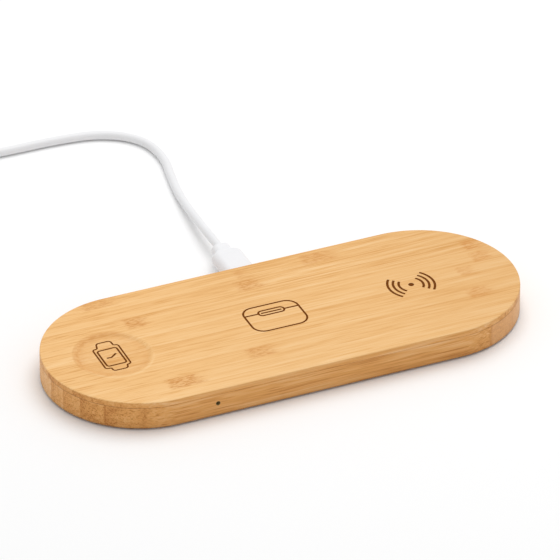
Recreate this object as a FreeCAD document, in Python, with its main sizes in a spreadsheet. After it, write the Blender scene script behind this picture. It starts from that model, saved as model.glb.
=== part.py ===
import FreeCAD, Part
import math
import os

import Sketcher

# Bamboo wireless charging pad for a watch, an earbud case and a phone, with its white supply lead.
# Origin on the surface under the pad's middle, X along the pad, +Y to the socket side, Z up.
# Millimetres and degrees throughout.

Vector = FreeCAD.Vector
UP = Vector(0, 0, 1)

SIZES = {
    # Bamboo body: a thin top panel glued on a milled frame
    "station_length": 220,
    "station_width": 87,
    "body_height": 13.2,
    "panel_thickness": 2.7,
    "panel_round": 0.5,
    "base_round": 0.6,
    "rim_width": 3,
    "ledge_width": 6,
    # Charging places, from the pad's ends, and the dish that holds the watch
    "watch_inset": 31,
    "phone_inset": 48.1,
    "dish_diameter": 35,
    "dish_floor": 29,
    "dish_depth": 0.8,
    # Status light in the front wall
    "light_x": -48.5,
    "light_height": 6.1,
    "light_hole": 2,
    "light_setback": 2.5,
    "pipe_clearance": 0.05,
    "pipe_flange": 3.6,
    "pipe_flange_thickness": 1,
    "led_diameter": 3,
    "led_length": 4.5,
    "led_dome": 1.35,
    "led_gap": 0.3,
    "led_leg": 0.5,
    "led_leg_pitch": 1.27,
    # Moulded cover under the pad
    "cover_thickness": 2,
    "cover_gap": 0.25,
    "lip_height": 1,
    "lip_thickness": 1.2,
    "lip_clearance": 0.3,
    "rib_thickness": 1.2,
    "rib_height": 1.6,
    # Countersunk screws of the cover
    "screw_x": 52,
    "screw_head": 4.6,
    "screw_shank": 2.2,
    "screw_length": 8,
    "screw_clearance": 0.1,
    "screw_countersink": 45,
    "recess_length": 2.4,
    "recess_width": 0.6,
    "recess_depth": 0.9,
    # Rubber feet in pockets of the cover
    "foot_diameter": 12,
    "foot_proud": 0.8,
    "foot_seat": 0.8,
    "foot_round": 0.4,
    "foot_clearance": 0.15,
    "foot_inset_x": 36,
    "foot_inset_y": 20.5,
    # Circuit board on standoffs of the cover
    "board_left": -58,
    "board_right": 18,
    "board_edge_gap": 2.5,
    "board_thickness": 1.2,
    "board_round": 2,
    "board_tongue": 11,
    "board_clearance": 0.5,
    "board_hole_inset": 4,
    "standoff_diameter": 6,
    "board_screw_head": 3.8,
    "board_screw_head_height": 1.3,
    "board_screw_shank": 1.8,
    "board_screw_reach": 3,
    # Parts soldered on the board
    "chip_side": 5,
    "chip_height": 0.9,
    "inductor_side": 7,
    "inductor_height": 3,
    "inductor_round": 1,
    "capacitor_length": 3.2,
    "capacitor_width": 2.5,
    "capacitor_height": 2,
    # Charging coils, each taped under the panel with a ferrite plate below it
    "tape_thickness": 0.2,
    "wire_width": 1.5,
    "wire_thickness": 1.2,
    "wire_gap": 0.25,
    "phone_coil_radius": 10,
    "earbud_coil_radius": 8,
    "watch_coil_radius": 7.5,
    "ferrite_thickness": 0.8,
    "ferrite_margin": 1,
    "magnet_diameter": 10,
    "lead_diameter": 0.8,
    "lead_spread": 2,
    "lead_gap": 0.15,
    "lead_rise": 3,
    "lead_reach": 3,
    "earbud_lead_run": 12,
    # Socket in the rear wall
    "socket_x": 1.45,
    "socket_height": 6.1,
    "socket_width": 8.94,
    "socket_tall": 3.26,
    "socket_wall": 0.25,
    "socket_length": 8.4,
    "socket_recess": 0.3,
    "socket_clearance": 0.15,
    "insulator_length": 1.2,
    "insulator_clearance": 0.03,
    "tongue_width": 6.69,
    "tongue_thickness": 0.7,
    "tongue_setback": 1.2,
    # Plug at the pad's end of the lead
    "plug_width": 8.25,
    "plug_tall": 2.4,
    "plug_wall": 0.3,
    "plug_reach": 6.5,
    "plug_root": 2.5,
    "plug_fit": 0.03,
    "insert_setback": 0.3,
    "insert_slot_depth": 5.4,
    "insert_slot_clearance": 0.15,
    "grip_gap": 0.5,
    "grip_width": 14.6,
    "grip_tall": 7,
    "grip_length": 23,
    "grip_shoulder": 3.8,
    "grip_front_round": 0.6,
    "neck_width": 8.7,
    "neck_tall": 5.6,
    "neck_length": 4.3,
    "neck_round": 0.7,
    # Cord, its put-away coil and the tie round the coil
    "cord_diameter": 4,
    "loop_gap": 0.5,
    "coil_radius": 16.7,
    "coil_turns": 5.214,
    "coil_start_angle": 103,
    "coil_step_x": -101.5,
    "coil_step_y": 88.7,
    "cord_lead_in": 25,
    "tail_lead_out": 12,
    "tie_width": 7,
    "tie_thickness": 0.7,
    "tie_gap": 0.25,
    "tie_round": 1.6,
    # Plug at the supply's end of the lead
    "supply_grip_width": 15.6,
    "supply_grip_tall": 8,
    "supply_grip_length": 22.7,
    "supply_grip_shoulder": 4,
    "supply_shell_width": 12,
    "supply_shell_tall": 4.5,
    "supply_shell_wall": 0.3,
    "supply_shell_reach": 11.8,
    "supply_tongue_thickness": 1.9,
    "supply_tongue_setback": 0.4,
    "supply_shell_round": 0.5,
    "supply_window": 2.2,
    "supply_window_setback": 5.2,
    "supply_window_pitch": 5.6,
    # Length by which every cut runs past the wall that it opens
    "overrun": 1,
}

# Share of the free length between the other coils that lies on the watch's side of the earbud coil
EARBUD_SHARE = 0.684

# Places on the board, as shares of its length from the left and of its width from the front
CHIP_SHARES = [(0.6, 0.5), (0.2, 0.3), (0.74, 0.24), (0.2, 0.72)]
INDUCTOR_SHARES = [(0.34, 0.24), (0.88, 0.38), (0.34, 0.8)]
CAPACITOR_SHARES = [(0.48, 0.2), (0.54, 0.2), (0.6, 0.2), (0.48, 0.72), (0.54, 0.72), (0.9, 0.6), (0.9, 0.68)]

# Turns of the flat wire in each charging coil
PHONE_COIL_TURNS = 8
EARBUD_COIL_TURNS = 6
WATCH_COIL_TURNS = 4

# Cord route, chosen by hand: steps in X and Y from the end of the grip's neck, heights above the surface
CORD_ROUTE = [
    (0.0, 12.5, 6.9),
    (1.2, 30.7, 5.0),
    (3.3, 52.0, 2.4),
    (6.0, 68.4, 2.05),
    (10.6, 89.4, 2.05),
    (7.0, 106.9, 2.05),
    (-8.2, 118.7, 2.05),
    (-31.1, 121.4, 2.05),
    (-58.0, 121.3, 2.05),
]
# Tail of the cord from the coil to the supply plug: steps in X and Y from the coil's end
TAIL_ROUTE = [
    (-0.4, -27.5),
    (-0.4, -39.0),
]

doc = FreeCAD.newDocument("ChargingPad")
sheet = doc.addObject("Spreadsheet::Sheet", "Sizes")
for row, (alias, number) in enumerate(SIZES.items(), start=1):
    sheet.set(f"A{row}", alias)
    sheet.set(f"B{row}", str(number))
    sheet.setAlias(f"B{row}", alias)
doc.recompute()


def value(formula):
    """A formula on the sheet's sizes, worked out as a number."""
    return float(sheet.evalExpression(formula))


# Heights and walls that several pieces share
CAVITY_INSET = "(Sizes.rim_width + Sizes.ledge_width)"
FRAME_HEIGHT = "(Sizes.body_height - Sizes.panel_thickness)"
PANEL_UNDERSIDE = f"(Sizes.foot_proud + {FRAME_HEIGHT})"
COVER_TOP = "(Sizes.foot_proud + Sizes.cover_thickness)"
SOCKET_AXIS = "(Sizes.foot_proud + Sizes.socket_height)"
LIGHT_AXIS = "(Sizes.foot_proud + Sizes.light_height)"
BOARD_TOP = f"({SOCKET_AXIS} - Sizes.socket_tall / 2)"
BOARD_UNDERSIDE = f"({BOARD_TOP} - Sizes.board_thickness)"
STANDOFF_HEIGHT = f"({BOARD_UNDERSIDE} - {COVER_TOP})"
REAR_FACE = "(Sizes.station_width / 2)"
CAVITY_WALL = f"({REAR_FACE} - {CAVITY_INSET})"
BOARD_WIDTH = f"(2 * ({CAVITY_WALL} - Sizes.board_edge_gap))"
WATCH_X = "(Sizes.watch_inset - Sizes.station_length / 2)"
PHONE_X = "(Sizes.station_length / 2 - Sizes.phone_inset)"
FOOT_X = "(Sizes.station_length / 2 - Sizes.foot_inset_x)"
FOOT_Y = f"({REAR_FACE} - Sizes.foot_inset_y)"
SCREW_HEAD_HEIGHT = "((Sizes.screw_head - Sizes.screw_shank) / 2 / tan(Sizes.screw_countersink * 1 deg))"
SOCKET_MOUTH = f"({REAR_FACE} - Sizes.socket_recess)"
GRIP_FACE = f"({REAR_FACE} + Sizes.grip_gap)"
NECK_END = f"({GRIP_FACE} + Sizes.grip_length + Sizes.neck_length)"

# Share of the pad's length within which two levels count as one
SNAP_SHARE = 1e-7

# Shares of a solid that the smallest cut takes away, and by which a tube may differ from its path
LEAST_CUT_SHARE = 1e-9
TUBE_ERROR_SHARE = 0.01

nodes = []


def new_body(label, x="0", y="0", z="0"):
    """An empty PartDesign body whose place follows the sheet."""
    body = doc.addObject("PartDesign::Body", label)
    body.Label = label
    for axis, formula in (("x", x), ("y", y), ("z", z)):
        body.setExpression(f"Placement.Base.{axis}", formula)
    nodes.append(body)
    return body


def new_sketch(body, name, plane="XY_Plane", x="0", z="0"):
    """A sketch on one of the body's own planes, shifted along its x and its normal."""
    sketch = body.newObject("Sketcher::SketchObject", f"{body.Label}_{name}")
    support = next(item for item in body.Origin.OriginFeatures if item.Role == plane)
    sketch.AttachmentSupport = [(support, "")]
    sketch.MapMode = "FlatFace"
    sketch.setExpression("AttachmentOffset.Base.x", x)
    sketch.setExpression("AttachmentOffset.Base.z", z)
    return sketch


def drive(sketch, kind, *where, by):
    """A dimension of the sketch that follows a formula."""
    number = sketch.addConstraint(Sketcher.Constraint(kind, *where, value(by)))
    sketch.setExpression(f"Constraints[{number}]", by)


def pin(sketch, geometry, point, x, y):
    """Hold a point of the sketch at formulas for its x and y."""
    drive(sketch, "DistanceX", geometry, point, by=x)
    drive(sketch, "DistanceY", geometry, point, by=y)


def circle(sketch, x, y, diameter):
    """A circle held by its centre and diameter."""
    ring = Part.Circle(Vector(value(x), value(y), 0), UP, value(diameter) / 2)
    number = sketch.addGeometry(ring)
    pin(sketch, number, 3, x, y)
    drive(sketch, "Diameter", number, by=diameter)


def rectangle(sketch, x, y, width, height):
    """A rectangle held by its middle and its two sides."""
    left, right = f"{x} - ({width}) / 2", f"{x} + ({width}) / 2"
    low, high = f"{y} - ({height}) / 2", f"{y} + ({height}) / 2"
    corners = [(left, low), (right, low), (right, high), (left, high)]
    points = [Vector(value(across), value(along), 0) for across, along in corners]
    sides = [sketch.addGeometry(Part.LineSegment(points[n - 1], points[n])) for n in range(4)]
    for n in range(4):
        sketch.addConstraint(Sketcher.Constraint("Coincident", sides[n - 1], 2, sides[n], 1))
        sketch.addConstraint(Sketcher.Constraint("Horizontal" if n % 2 else "Vertical", sides[n]))
    pin(sketch, sides[1], 1, left, low)
    pin(sketch, sides[3], 1, right, high)


def stadium(sketch, length, width, x="0", y="0"):
    """Two half circles joined by straight sides, long way along the sketch's x."""
    radius = f"({width}) / 2"
    reach = f"(({length}) - ({width})) / 2"
    ends = []
    for side, first in ((1, -math.pi / 2), (-1, math.pi / 2)):
        centre = Vector(value(x) + side * value(reach), value(y), 0)
        round_end = Part.ArcOfCircle(Part.Circle(centre, UP, value(radius)), first, first + math.pi)
        ends.append(sketch.addGeometry(round_end))
    for start, stop in ((0, 1), (1, 0)):
        from_arc, to_arc = sketch.Geometry[ends[start]], sketch.Geometry[ends[stop]]
        line = sketch.addGeometry(Part.LineSegment(from_arc.EndPoint, to_arc.StartPoint))
        sketch.addConstraint(Sketcher.Constraint("Tangent", ends[start], 2, line, 1))
        sketch.addConstraint(Sketcher.Constraint("Tangent", line, 2, ends[stop], 1))
    pin(sketch, ends[0], 3, f"{x} + {reach}", y)
    pin(sketch, ends[1], 3, f"{x} - {reach}", y)
    sketch.addConstraint(Sketcher.Constraint("Equal", ends[0], ends[1]))
    drive(sketch, "Radius", ends[0], by=radius)


def round_rectangle(sketch, width, height, radius, x="0", y="0"):
    """A rectangle with its corners rounded, held by its middle."""
    across = f"(({width}) / 2 - ({radius}))"
    along = f"(({height}) / 2 - ({radius}))"
    centres = [(f"{x} + {column} * {across}", f"{y} + {row} * {along}")
               for column, row in ((1, 1), (-1, 1), (-1, -1), (1, -1))]
    corners = []
    for quarter, (centre_x, centre_y) in enumerate(centres):
        ring = Part.Circle(Vector(value(centre_x), value(centre_y), 0), UP, value(radius))
        first = quarter * math.pi / 2
        corners.append(sketch.addGeometry(Part.ArcOfCircle(ring, first, first + math.pi / 2)))
        pin(sketch, corners[-1], 3, centre_x, centre_y)
    for start, stop in zip(corners, corners[1:] + corners[:1]):
        from_arc, to_arc = sketch.Geometry[start], sketch.Geometry[stop]
        line = sketch.addGeometry(Part.LineSegment(from_arc.EndPoint, to_arc.StartPoint))
        sketch.addConstraint(Sketcher.Constraint("Tangent", start, 2, line, 1))
        sketch.addConstraint(Sketcher.Constraint("Tangent", line, 2, stop, 1))
    for corner in corners[1:]:
        sketch.addConstraint(Sketcher.Constraint("Equal", corners[0], corner))
    drive(sketch, "Radius", corners[0], by=radius)


def pad(body, sketch, length, reverse=False, taper="0"):
    """Raise a sketch into the body's solid."""
    feature = body.newObject("PartDesign::Pad", f"{sketch.Name}_pad")
    feature.Profile = sketch
    feature.Reversed = reverse
    feature.setExpression("Length", length)
    feature.setExpression("TaperAngle", taper)
    doc.recompute()
    return feature


def pocket(body, sketch, length, reverse=False, taper="0"):
    """Cut a sketch out of the body's solid, and stop if it points away from it."""
    before = body.Shape.Volume
    feature = body.newObject("PartDesign::Pocket", f"{sketch.Name}_pocket")
    feature.Profile = sketch
    feature.Reversed = reverse
    feature.setExpression("Length", length)
    feature.setExpression("TaperAngle", taper)
    doc.recompute()
    if body.Shape.Volume > before * (1 - LEAST_CUT_SHARE):
        raise RuntimeError(f"{sketch.Name} cuts nothing")
    return feature


def edges_at(shape, axis, level):
    """Names of the edges that lie flat at one level of an axis."""
    found = []
    for number, edge in enumerate(shape.Edges, start=1):
        box = edge.BoundBox
        low, high = getattr(box, f"{axis}Min"), getattr(box, f"{axis}Max")
        if max(abs(low - level), abs(high - level)) < SNAP_SHARE * value("Sizes.station_length"):
            found.append(f"Edge{number}")
    return found


def round_edges(body, axis, level, radius):
    """Fillet the edges of the body's last feature that lie at a level of one axis."""
    base = body.Tip
    names = edges_at(base.Shape, axis, value(level))
    fillet = body.newObject("PartDesign::Fillet", f"{base.Name}_round")
    fillet.Base = (base, names)
    fillet.setExpression("Radius", radius)
    doc.recompute()


def inset(size, wall):
    """A pad-wide size less a wall on both sides."""
    return f"Sizes.{size} - 2 * ({wall})"


# Top panel: a bamboo ply with the watch's dish milled into it

top_panel = new_body("top_panel", z=PANEL_UNDERSIDE)
outline = new_sketch(top_panel, "outline")
stadium(outline, "Sizes.station_length", "Sizes.station_width")
pad(top_panel, outline, "Sizes.panel_thickness")
round_edges(top_panel, "Z", "Sizes.panel_thickness", "Sizes.panel_round")

# The dish's section: a flat floor, a hollow curve and a crest that runs out level at the rim
section = new_sketch(top_panel, "dish", "XZ_Plane", x=WATCH_X)
floor_radius, rim_radius = value("Sizes.dish_floor / 2"), value("Sizes.dish_diameter / 2")
top = value("Sizes.panel_thickness")
floor = top - value("Sizes.dish_depth")
half_turn = 2 * math.atan2(top - floor, rim_radius - floor_radius)
bend = (rim_radius - floor_radius) / 2 / math.sin(half_turn)
hollow = Part.Circle(Vector(floor_radius, floor + bend, 0), UP, bend)
crest = Part.Circle(Vector(rim_radius, top - bend, 0), UP, bend)
axis_line = section.addGeometry(Part.LineSegment(Vector(0, top, 0), Vector(0, floor, 0)))
floor_line = section.addGeometry(Part.LineSegment(Vector(0, floor, 0), Vector(floor_radius, floor, 0)))
low_arc = section.addGeometry(Part.ArcOfCircle(hollow, -math.pi / 2, -math.pi / 2 + half_turn))
high_arc = section.addGeometry(Part.ArcOfCircle(crest, math.pi / 2, math.pi / 2 + half_turn))
top_line = section.addGeometry(Part.LineSegment(Vector(rim_radius, top, 0), Vector(0, top, 0)))
for rule in (
    ("Coincident", axis_line, 2, floor_line, 1),
    ("Coincident", top_line, 2, axis_line, 1),
    ("Vertical", axis_line),
    ("Horizontal", floor_line),
    ("Horizontal", top_line),
    ("PointOnObject", axis_line, 1, -2),
    ("Tangent", floor_line, 2, low_arc, 1),
    ("Tangent", low_arc, 2, high_arc, 2),
    ("Tangent", high_arc, 1, top_line, 1),
    ("Equal", low_arc, high_arc),
):
    section.addConstraint(Sketcher.Constraint(*rule))
drive(section, "DistanceX", floor_line, 2, by="Sizes.dish_floor / 2")
drive(section, "DistanceX", top_line, 1, by="Sizes.dish_diameter / 2")
drive(section, "DistanceY", axis_line, 1, by="Sizes.panel_thickness")
drive(section, "DistanceY", axis_line, 2, by="Sizes.panel_thickness - Sizes.dish_depth")
before_dish = top_panel.Shape.Volume
dish = top_panel.newObject("PartDesign::Groove", "top_panel_dish_groove")
dish.Profile = section
dish.ReferenceAxis = (section, ["V_Axis"])
doc.recompute()
if top_panel.Shape.Volume >= before_dish:
    raise RuntimeError("the watch dish cuts nothing")

# Frame: the thick bamboo ring, with the cover's rebate, the cavity, and the socket's and light's holes

LEDGE_INSET = "(Sizes.rim_width + Sizes.ledge_width / 2)"
SIDE_SCREWS = [(f"{side} * Sizes.screw_x", f"{end} * ({REAR_FACE} - {LEDGE_INSET})")
               for side in (-1, 1) for end in (-1, 1)]
END_SCREWS = [(f"{side} * (Sizes.station_length / 2 - {LEDGE_INSET})", "0") for side in (-1, 1)]
SCREW_PLACES = SIDE_SCREWS + END_SCREWS

body_frame = new_body("body_frame", z="Sizes.foot_proud")
outline = new_sketch(body_frame, "outline")
stadium(outline, "Sizes.station_length", "Sizes.station_width")
pad(body_frame, outline, FRAME_HEIGHT)
round_edges(body_frame, "Z", "0", "Sizes.base_round")
cavity = new_sketch(body_frame, "cavity")
stadium(cavity, inset("station_length", CAVITY_INSET), inset("station_width", CAVITY_INSET))
pocket(body_frame, cavity, FRAME_HEIGHT, reverse=True)
rebate = new_sketch(body_frame, "rebate")
stadium(rebate, inset("station_length", "Sizes.rim_width"), inset("station_width", "Sizes.rim_width"))
pocket(body_frame, rebate, "Sizes.cover_thickness", reverse=True)
pilots = new_sketch(body_frame, "pilots", z="Sizes.cover_thickness")
for x, y in SCREW_PLACES:
    circle(pilots, x, y, "Sizes.screw_shank + 2 * Sizes.screw_clearance")
PILOT_DEPTH = "Sizes.screw_length - Sizes.cover_thickness + Sizes.screw_clearance"
pocket(body_frame, pilots, PILOT_DEPTH, reverse=True)
notch = new_sketch(body_frame, "notch")
NOTCH_DEPTH = "(Sizes.ledge_width + Sizes.overrun)"
rectangle(notch, "Sizes.socket_x", f"{REAR_FACE} - Sizes.rim_width - {NOTCH_DEPTH} / 2",
          "Sizes.board_tongue + 2 * Sizes.board_clearance", NOTCH_DEPTH)
NOTCH_TOP = "Sizes.socket_height + Sizes.socket_tall / 2 + Sizes.socket_clearance"
pocket(body_frame, notch, NOTCH_TOP, reverse=True)
slot = new_sketch(body_frame, "socket_slot", "XZ_Plane")
SLOT_WIDTH = "Sizes.socket_width + 2 * Sizes.socket_clearance"
SLOT_TALL = "Sizes.socket_tall + 2 * Sizes.socket_clearance"
stadium(slot, SLOT_WIDTH, SLOT_TALL, "Sizes.socket_x", "Sizes.socket_height")
pocket(body_frame, slot, f"{REAR_FACE} + Sizes.overrun")
light_hole = new_sketch(body_frame, "light_hole", "XZ_Plane")
circle(light_hole, "Sizes.light_x", "Sizes.light_height", "Sizes.light_hole")
pocket(body_frame, light_hole, f"{REAR_FACE} + Sizes.overrun", reverse=True)

# Cover: a moulded plate in the frame's rebate, with a locating lip, ribs and the board's standoffs

FOOT_PLACES = [(f"{side} * {FOOT_X}", f"{end} * {FOOT_Y}") for side in (-1, 1) for end in (-1, 1)]
HOLE_COLUMNS = ("Sizes.board_left + Sizes.board_hole_inset", "Sizes.board_right - Sizes.board_hole_inset")
BOARD_HOLES = [(x, f"{end} * ({BOARD_WIDTH} / 2 - Sizes.board_hole_inset)")
               for x in HOLE_COLUMNS for end in (-1, 1)]
COVER_INSET = "(Sizes.rim_width + Sizes.cover_gap)"
LIP_INSET = f"({CAVITY_INSET} + Sizes.lip_clearance)"

bottom_cover = new_body("bottom_cover", z="Sizes.foot_proud")
plate = new_sketch(bottom_cover, "plate")
stadium(plate, inset("station_length", COVER_INSET), inset("station_width", COVER_INSET))
pad(bottom_cover, plate, "Sizes.cover_thickness")
lip = new_sketch(bottom_cover, "lip", z="Sizes.cover_thickness")
stadium(lip, inset("station_length", LIP_INSET), inset("station_width", LIP_INSET))
stadium(lip, inset("station_length", f"{LIP_INSET} + Sizes.lip_thickness"),
        inset("station_width", f"{LIP_INSET} + Sizes.lip_thickness"))
pad(bottom_cover, lip, "Sizes.lip_height")
ribs = new_sketch(bottom_cover, "ribs", z="Sizes.cover_thickness")
RIB_MIDDLE = f"({FOOT_X} + Sizes.board_right) / 2 + Sizes.rib_thickness"
RIB_RUN = f"({FOOT_X} - Sizes.board_right) / 2"
for end in (-1, 1):
    rectangle(ribs, RIB_MIDDLE, f"{end} * {FOOT_Y} / 2", RIB_RUN, "Sizes.rib_thickness")
pad(bottom_cover, ribs, "Sizes.rib_height")
standoffs = new_sketch(bottom_cover, "standoffs", z="Sizes.cover_thickness")
for x, y in BOARD_HOLES:
    circle(standoffs, x, y, "Sizes.standoff_diameter")
pad(bottom_cover, standoffs, STANDOFF_HEIGHT)
threads = new_sketch(bottom_cover, "board_pilots", z=f"Sizes.cover_thickness + {STANDOFF_HEIGHT}")
for x, y in BOARD_HOLES:
    circle(threads, x, y, "Sizes.board_screw_shank + 2 * Sizes.screw_clearance")
pocket(bottom_cover, threads, "Sizes.board_screw_reach - Sizes.board_thickness + Sizes.screw_clearance")
countersinks = new_sketch(bottom_cover, "countersinks")
for x, y in SCREW_PLACES:
    circle(countersinks, x, y, "Sizes.screw_head + 2 * Sizes.screw_clearance")
pocket(bottom_cover, countersinks, SCREW_HEAD_HEIGHT, reverse=True, taper="-Sizes.screw_countersink")
clearances = new_sketch(bottom_cover, "screw_holes")
for x, y in SCREW_PLACES:
    circle(clearances, x, y, "Sizes.screw_shank + 2 * Sizes.screw_clearance")
pocket(bottom_cover, clearances, "Sizes.cover_thickness", reverse=True)
foot_pockets = new_sketch(bottom_cover, "foot_pockets")
for x, y in FOOT_PLACES:
    circle(foot_pockets, x, y, "Sizes.foot_diameter + 2 * Sizes.foot_clearance")
pocket(bottom_cover, foot_pockets, "Sizes.foot_seat", reverse=True)

# Cover screws: countersunk heads with a cross recess, flush with the cover

cover_screws = new_body("cover_screws", z="Sizes.foot_proud")
shanks = new_sketch(cover_screws, "shanks")
for x, y in SCREW_PLACES:
    circle(shanks, x, y, "Sizes.screw_shank")
pad(cover_screws, shanks, "Sizes.screw_length")
heads = new_sketch(cover_screws, "heads")
for x, y in SCREW_PLACES:
    circle(heads, x, y, "Sizes.screw_head")
pad(cover_screws, heads, SCREW_HEAD_HEIGHT, taper="-Sizes.screw_countersink")
for across, along in (("length", "width"), ("width", "length")):
    recess = new_sketch(cover_screws, f"recess_{across}")
    for x, y in SCREW_PLACES:
        rectangle(recess, x, y, f"Sizes.recess_{across}", f"Sizes.recess_{along}")
    pocket(cover_screws, recess, "Sizes.recess_depth", reverse=True)

# Feet: soft discs in the cover's pockets, standing proud of it

rubber_feet = new_body("rubber_feet")
discs = new_sketch(rubber_feet, "discs")
for x, y in FOOT_PLACES:
    circle(discs, x, y, "Sizes.foot_diameter")
pad(rubber_feet, discs, "Sizes.foot_proud + Sizes.foot_seat")
round_edges(rubber_feet, "Z", "0", "Sizes.foot_round")

# Main board, with a tongue under the socket

BOARD_MIDDLE = "((Sizes.board_left + Sizes.board_right) / 2)"
BOARD_LENGTH = "(Sizes.board_right - Sizes.board_left)"
TONGUE_END = f"({REAR_FACE} - Sizes.rim_width - Sizes.board_clearance)"

main_board = new_body("main_board", z=BOARD_UNDERSIDE)
outline = new_sketch(main_board, "outline")
round_rectangle(outline, BOARD_LENGTH, BOARD_WIDTH, "Sizes.board_round", BOARD_MIDDLE)
pad(main_board, outline, "Sizes.board_thickness")
tongue = new_sketch(main_board, "tongue")
rectangle(tongue, "Sizes.socket_x", f"{TONGUE_END} / 2", "Sizes.board_tongue", TONGUE_END)
pad(main_board, tongue, "Sizes.board_thickness")
holes = new_sketch(main_board, "holes")
for x, y in BOARD_HOLES:
    circle(holes, x, y, "Sizes.board_screw_shank + 2 * Sizes.screw_clearance")
pocket(main_board, holes, "Sizes.board_thickness", reverse=True)

# Board screws: pan heads on the board, shanks into the standoffs

board_screws = new_body("board_screws", z=BOARD_TOP)
heads = new_sketch(board_screws, "heads")
shanks = new_sketch(board_screws, "shanks")
for x, y in BOARD_HOLES:
    circle(heads, x, y, "Sizes.board_screw_head")
    circle(shanks, x, y, "Sizes.board_screw_shank")
pad(board_screws, heads, "Sizes.board_screw_head_height")
round_edges(board_screws, "Z", "Sizes.board_screw_head_height", "Sizes.board_screw_head_height / 2")
pad(board_screws, shanks, "Sizes.board_screw_reach", reverse=True)


# Parts soldered on the board: drivers, inductors and tuning capacitors

def on_board(shares):
    """Formulas for places given as shares of the board."""
    return [(f"Sizes.board_left + {along} * {BOARD_LENGTH}", f"({across} - 1 / 2) * {BOARD_WIDTH}")
            for along, across in shares]


def board_parts(label, shares, length, width, height):
    """A group of like parts standing on the board."""
    body = new_body(label, z=BOARD_TOP)
    outlines = new_sketch(body, "outlines")
    for x, y in on_board(shares):
        rectangle(outlines, x, y, length, width)
    pad(body, outlines, height)
    return body


board_parts("driver_chips", CHIP_SHARES, "Sizes.chip_side", "Sizes.chip_side", "Sizes.chip_height")
inductors = board_parts("board_inductors", INDUCTOR_SHARES,
                        "Sizes.inductor_side", "Sizes.inductor_side", "Sizes.inductor_height")
round_edges(inductors, "Z", "Sizes.inductor_height", "Sizes.inductor_round")
board_parts("tuning_capacitors", CAPACITOR_SHARES,
            "Sizes.capacitor_length", "Sizes.capacitor_width", "Sizes.capacitor_height")

# Status light: a round lamp lying on the board's front edge, and the clear pipe in the front wall

LED_TIP = f"({CAVITY_WALL} - Sizes.pipe_flange_thickness - Sizes.led_gap)"
status_led = new_body("status_led", x="Sizes.light_x", y=f"-{LED_TIP}", z=LIGHT_AXIS)
lamp = new_sketch(status_led, "lamp", "XZ_Plane")
circle(lamp, "0", "0", "Sizes.led_diameter")
pad(status_led, lamp, "Sizes.led_length", reverse=True)
round_edges(status_led, "Y", "0", "Sizes.led_dome")
legs = new_sketch(status_led, "legs", "XZ_Plane", z="-Sizes.led_length")
LEG_DROP = f"({LIGHT_AXIS} - {BOARD_TOP})"
for side in (-1, 1):
    rectangle(legs, f"{side} * Sizes.led_leg_pitch / 2", f"-{LEG_DROP} / 2", "Sizes.led_leg", LEG_DROP)
pad(status_led, legs, "Sizes.led_leg", reverse=True)

light_pipe = new_body("light_pipe", x="Sizes.light_x", y=f"-{CAVITY_WALL}", z=LIGHT_AXIS)
flange = new_sketch(light_pipe, "flange", "XZ_Plane")
circle(flange, "0", "0", "Sizes.pipe_flange")
pad(light_pipe, flange, "Sizes.pipe_flange_thickness", reverse=True)
rod = new_sketch(light_pipe, "rod", "XZ_Plane")
circle(rod, "0", "0", "Sizes.light_hole - 2 * Sizes.pipe_clearance")
pad(light_pipe, rod, f"{CAVITY_INSET} - Sizes.light_setback")

# Socket: a drawn metal shell on the board, its mouth in the rear wall, with a moulded tongue inside

INNER_WIDTH = "(Sizes.socket_width - 2 * Sizes.socket_wall)"
INNER_TALL = "(Sizes.socket_tall - 2 * Sizes.socket_wall)"

socket_shell = new_body("socket_shell", x="Sizes.socket_x", y=SOCKET_MOUTH, z=SOCKET_AXIS)
tube = new_sketch(socket_shell, "tube", "XZ_Plane")
stadium(tube, "Sizes.socket_width", "Sizes.socket_tall")
stadium(tube, INNER_WIDTH, INNER_TALL)
pad(socket_shell, tube, "Sizes.socket_length")

SOCKET_BACK = f"({SOCKET_MOUTH} - Sizes.socket_length)"
socket_tongue = new_body("socket_tongue", x="Sizes.socket_x", y=SOCKET_BACK, z=SOCKET_AXIS)
block = new_sketch(socket_tongue, "block", "XZ_Plane")
BLOCK_GAP = "2 * Sizes.insulator_clearance"
stadium(block, f"{INNER_WIDTH} - {BLOCK_GAP}", f"{INNER_TALL} - {BLOCK_GAP}")
pad(socket_tongue, block, "Sizes.insulator_length", reverse=True)
blade = new_sketch(socket_tongue, "blade", "XZ_Plane")
rectangle(blade, "0", "0", "Sizes.tongue_width", "Sizes.tongue_thickness")
pad(socket_tongue, blade, "Sizes.socket_length - Sizes.tongue_setback", reverse=True)


# Charging coils: flat spirals of rectangular wire, made of half turns about two centres

FERRITE_TOP = f"({PANEL_UNDERSIDE} - Sizes.tape_thickness - Sizes.wire_thickness)"


def flat_coil(label, x, inner_radius, turns):
    """A wound coil taped under the panel, as one strip of wire."""
    pitch = value("Sizes.wire_width + Sizes.wire_gap")
    half_width = value("Sizes.wire_width / 2")
    radius = value(inner_radius) + half_width
    outer, inner = [], []
    for wall, side in ((outer, half_width), (inner, -half_width)):
        for half in range(2 * turns):
            sign = 1 - 2 * (half % 2)
            centre = Vector(-sign * pitch / 4, 0, 0)
            reach = radius + half * pitch / 2 + side
            start, middle = Vector(sign * reach, 0, 0), Vector(0, sign * reach, 0)
            wall.append(Part.Arc(centre + start, centre + middle, centre - start).toShape())
    ends = [Part.makeLine(outer[end].Vertexes[end].Point, inner[end].Vertexes[end].Point) for end in (0, -1)]
    strip = Part.Face(Part.Wire(Part.__sortEdges__(outer + inner + ends)))
    coil = doc.addObject("Part::Feature", label)
    coil.Label = label
    coil.Shape = strip.extrude(UP * value("Sizes.wire_thickness"))
    coil.Placement.Base = Vector(value(x), 0, value(FERRITE_TOP))
    nodes.append(coil)


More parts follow.
